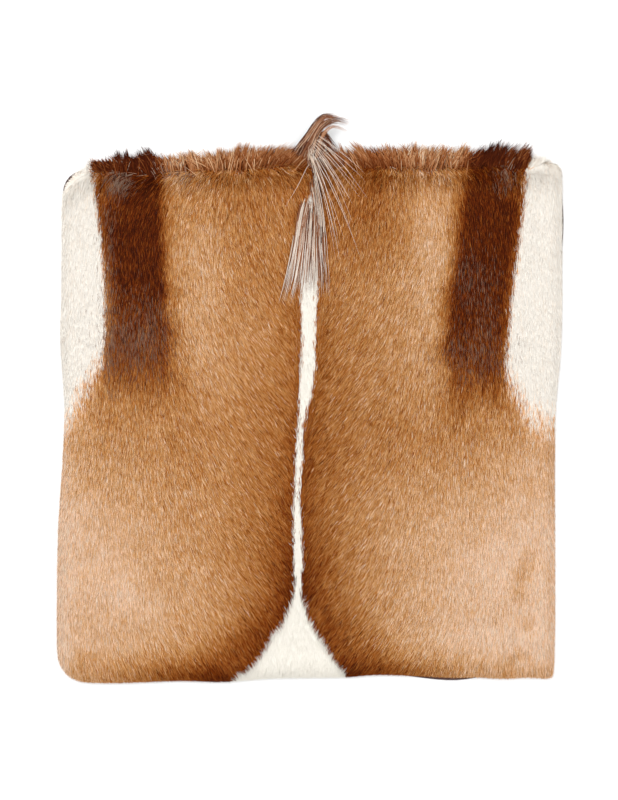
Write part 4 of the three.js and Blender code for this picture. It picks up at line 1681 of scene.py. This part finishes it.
    def _bristles(self, draw: np.random.Generator) -> Hairs:
        """Makes the bristles, which rise with the plume and then fan out to the right over the coat.

        Args:
            draw: the crest's random numbers.

        Returns:
            The bristles.
        """
        ends = np.array(self.bristle_ends)
        rank = np.linspace(0, 1, len(ends))
        width = np.concatenate([np.ones(len(ends)), np.full(self.thin_bristles, self.thin_width)])
        rank = np.concatenate([rank, rank[: self.thin_bristles]])
        ends = np.concatenate([ends, ends[: self.thin_bristles]])
        reach = np.where(width < 1, draw.uniform(*self.thin_reach, len(ends)), self.bristle_reach)
        crown = blend(*(np.array(corner) for corner in self.bristle_crown), rank[:, None])
        crown = crown + draw.normal(0, self.crown_spread, crown.shape)
        stray = np.where(width < 1, self.thin_stray, 0.0)[:, None] * draw.normal(0, 1, ends.shape)
        ends = crown + (ends + stray - crown) * reach[:, None]
        bow = np.stack([crown[:, 1] - ends[:, 1], ends[:, 0] - crown[:, 0]], axis=1) * self.bristle_bow
        wide, tall, height = self.bristle_base
        base = [draw.uniform(*wide, len(ends)), draw.uniform(*tall, len(ends)), np.full(len(ends), height)]
        base = np.stack(base, axis=1)
        rising = np.column_stack([(base[:, :2] + crown) / 2 - [1.5, 0], np.full(len(ends), 12.0)])
        over = [
            np.column_stack([blend(crown, ends, share) + bowed * bow, high - lower * rank])
            for share, bowed, high, lower in self.bristle_stations
        ]
        stations = np.stack([base, rising, *over], axis=1)
        lone = along_curves(np.array([self.lone_bristle]), np.linspace(0, 1, stations.shape[1])[None])
        stations = np.concatenate([stations, lone])
        count = len(stations)
        shares = np.tile(np.linspace(0, 1, self.steps + 1), (count, 1))
        shade = draw.uniform(*self.bristle_shades, count)
        return Hairs(
            along_curves(stations, shares),
            np.tile([0.0, 0.0, 1.0], (count, 1)),
            self.bristle_width * np.append(width, self.lone_width),
            np.stack([shade + self.root_darker, shade], axis=1),
            # Painted shade at the root, full light at the tip.
            np.tile([0.2, 1.0], (count, 1)),
        )


@dataclass
class BackPanel:
    """The plain suede panel behind the hide."""

    node: bpy.types.Object
    edge: float = 0.5

    def build(self) -> bpy.types.Object:
        """Makes and dresses the panel, with its cut edges softened.

        Returns:
            The panel.
        """
        panel = copy_of_node(self.node, "suede_back")
        soft = panel.modifiers.new("soft_edge", "BEVEL")
        soft.width, soft.segments = self.edge * MM, 2
        soft.limit_method, soft.angle_limit = "ANGLE", math.radians(60)
        bpy.ops.object.modifier_apply(modifier=soft.name)
        bpy.ops.object.shade_smooth_by_angle(angle=math.radians(40))
        dress(panel, SuedeFinish().material(), "back_panel")
        return panel


@dataclass(frozen=True)
class Lamp:
    """A square soft lamp that shines on the cover. Its place and size are in metres, its power in watts."""

    name: str
    at: tuple[float, float, float]
    size: float
    power: float

    def build(self) -> None:
        """Makes the lamp."""
        bpy.ops.object.light_add(type="AREA", location=self.at)
        lamp = bpy.context.object
        lamp.name = self.name
        lamp.data.size, lamp.data.energy = self.size, self.power
        lamp.rotation_euler = (-lamp.location).to_track_quat("-Z", "Y").to_euler()


@dataclass
class Studio:
    """The pale floor, the soft lights and the camera straight above the cover. Its sizes are in metres."""

    height: float = 3.0
    sensor_mm: float = 36.0
    floor_size: float = 14.0
    sky: float = 0.85
    lamps: tuple[Lamp, ...] = (
        Lamp("key", (-0.9, 1.3, 2.1), 1.6, 44.0),
        Lamp("fill", (1.3, -0.7, 2.3), 1.8, 26.0),
    )

    def build(self) -> None:
        """Makes the floor, the lights and the camera."""
        self._floor()
        self._lights()
        self._camera()

    def _floor(self) -> None:
        """Makes the floor."""
        bpy.ops.object.select_all(action="DESELECT")
        bpy.ops.mesh.primitive_plane_add(size=self.floor_size, location=(0, 0, 0))
        floor = bpy.context.object
        floor.name = "floor"
        floor.data.materials.append(FloorFinish().material())

    def _lights(self) -> None:
        """Makes an even sky and the lamps."""
        world = bpy.data.worlds.new("studio")
        world.use_nodes = True
        world.node_tree.nodes["Background"].inputs["Color"].default_value = (1.0, 1.0, 1.0, 1.0)
        world.node_tree.nodes["Background"].inputs["Strength"].default_value = self.sky
        bpy.context.scene.world = world
        for lamp in self.lamps:
            lamp.build()

    def _camera(self) -> None:
        """Puts the camera straight above, so that one photo pixel is PIXEL_MM on the cover."""
        wide, high = PHOTO_SIZE
        column, row = ORIGIN_PIXEL
        centre = ((wide / 2 - column) * PIXEL_MM * MM, (row - high / 2) * PIXEL_MM * MM)
        bpy.ops.object.camera_add(location=(*centre, self.height), rotation=(0, 0, 0))
        camera = bpy.context.object
        camera.name = "camera"
        camera.data.sensor_width = self.sensor_mm
        camera.data.lens = self.sensor_mm * self.height / (high * PIXEL_MM * MM)
        camera.data.dof.use_dof = False
        bpy.context.scene.camera = camera


def main() -> None:
    logging.basicConfig(level=logging.INFO, format="%(name)s %(message)s")
    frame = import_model()
    nodes = frame["nodes"]
    bpy.context.scene.view_settings.view_transform = "Standard"
    Studio().build()
    panel = BackPanel(nodes["back_panel"]).build()
    hide = Hide(nodes["hide_front"])
    coat = hide.build()
    Fringe(nodes["top_fringe"], hide).build()
    Crest(nodes["crest"]).build()


if __name__ == "__main__":
    main()
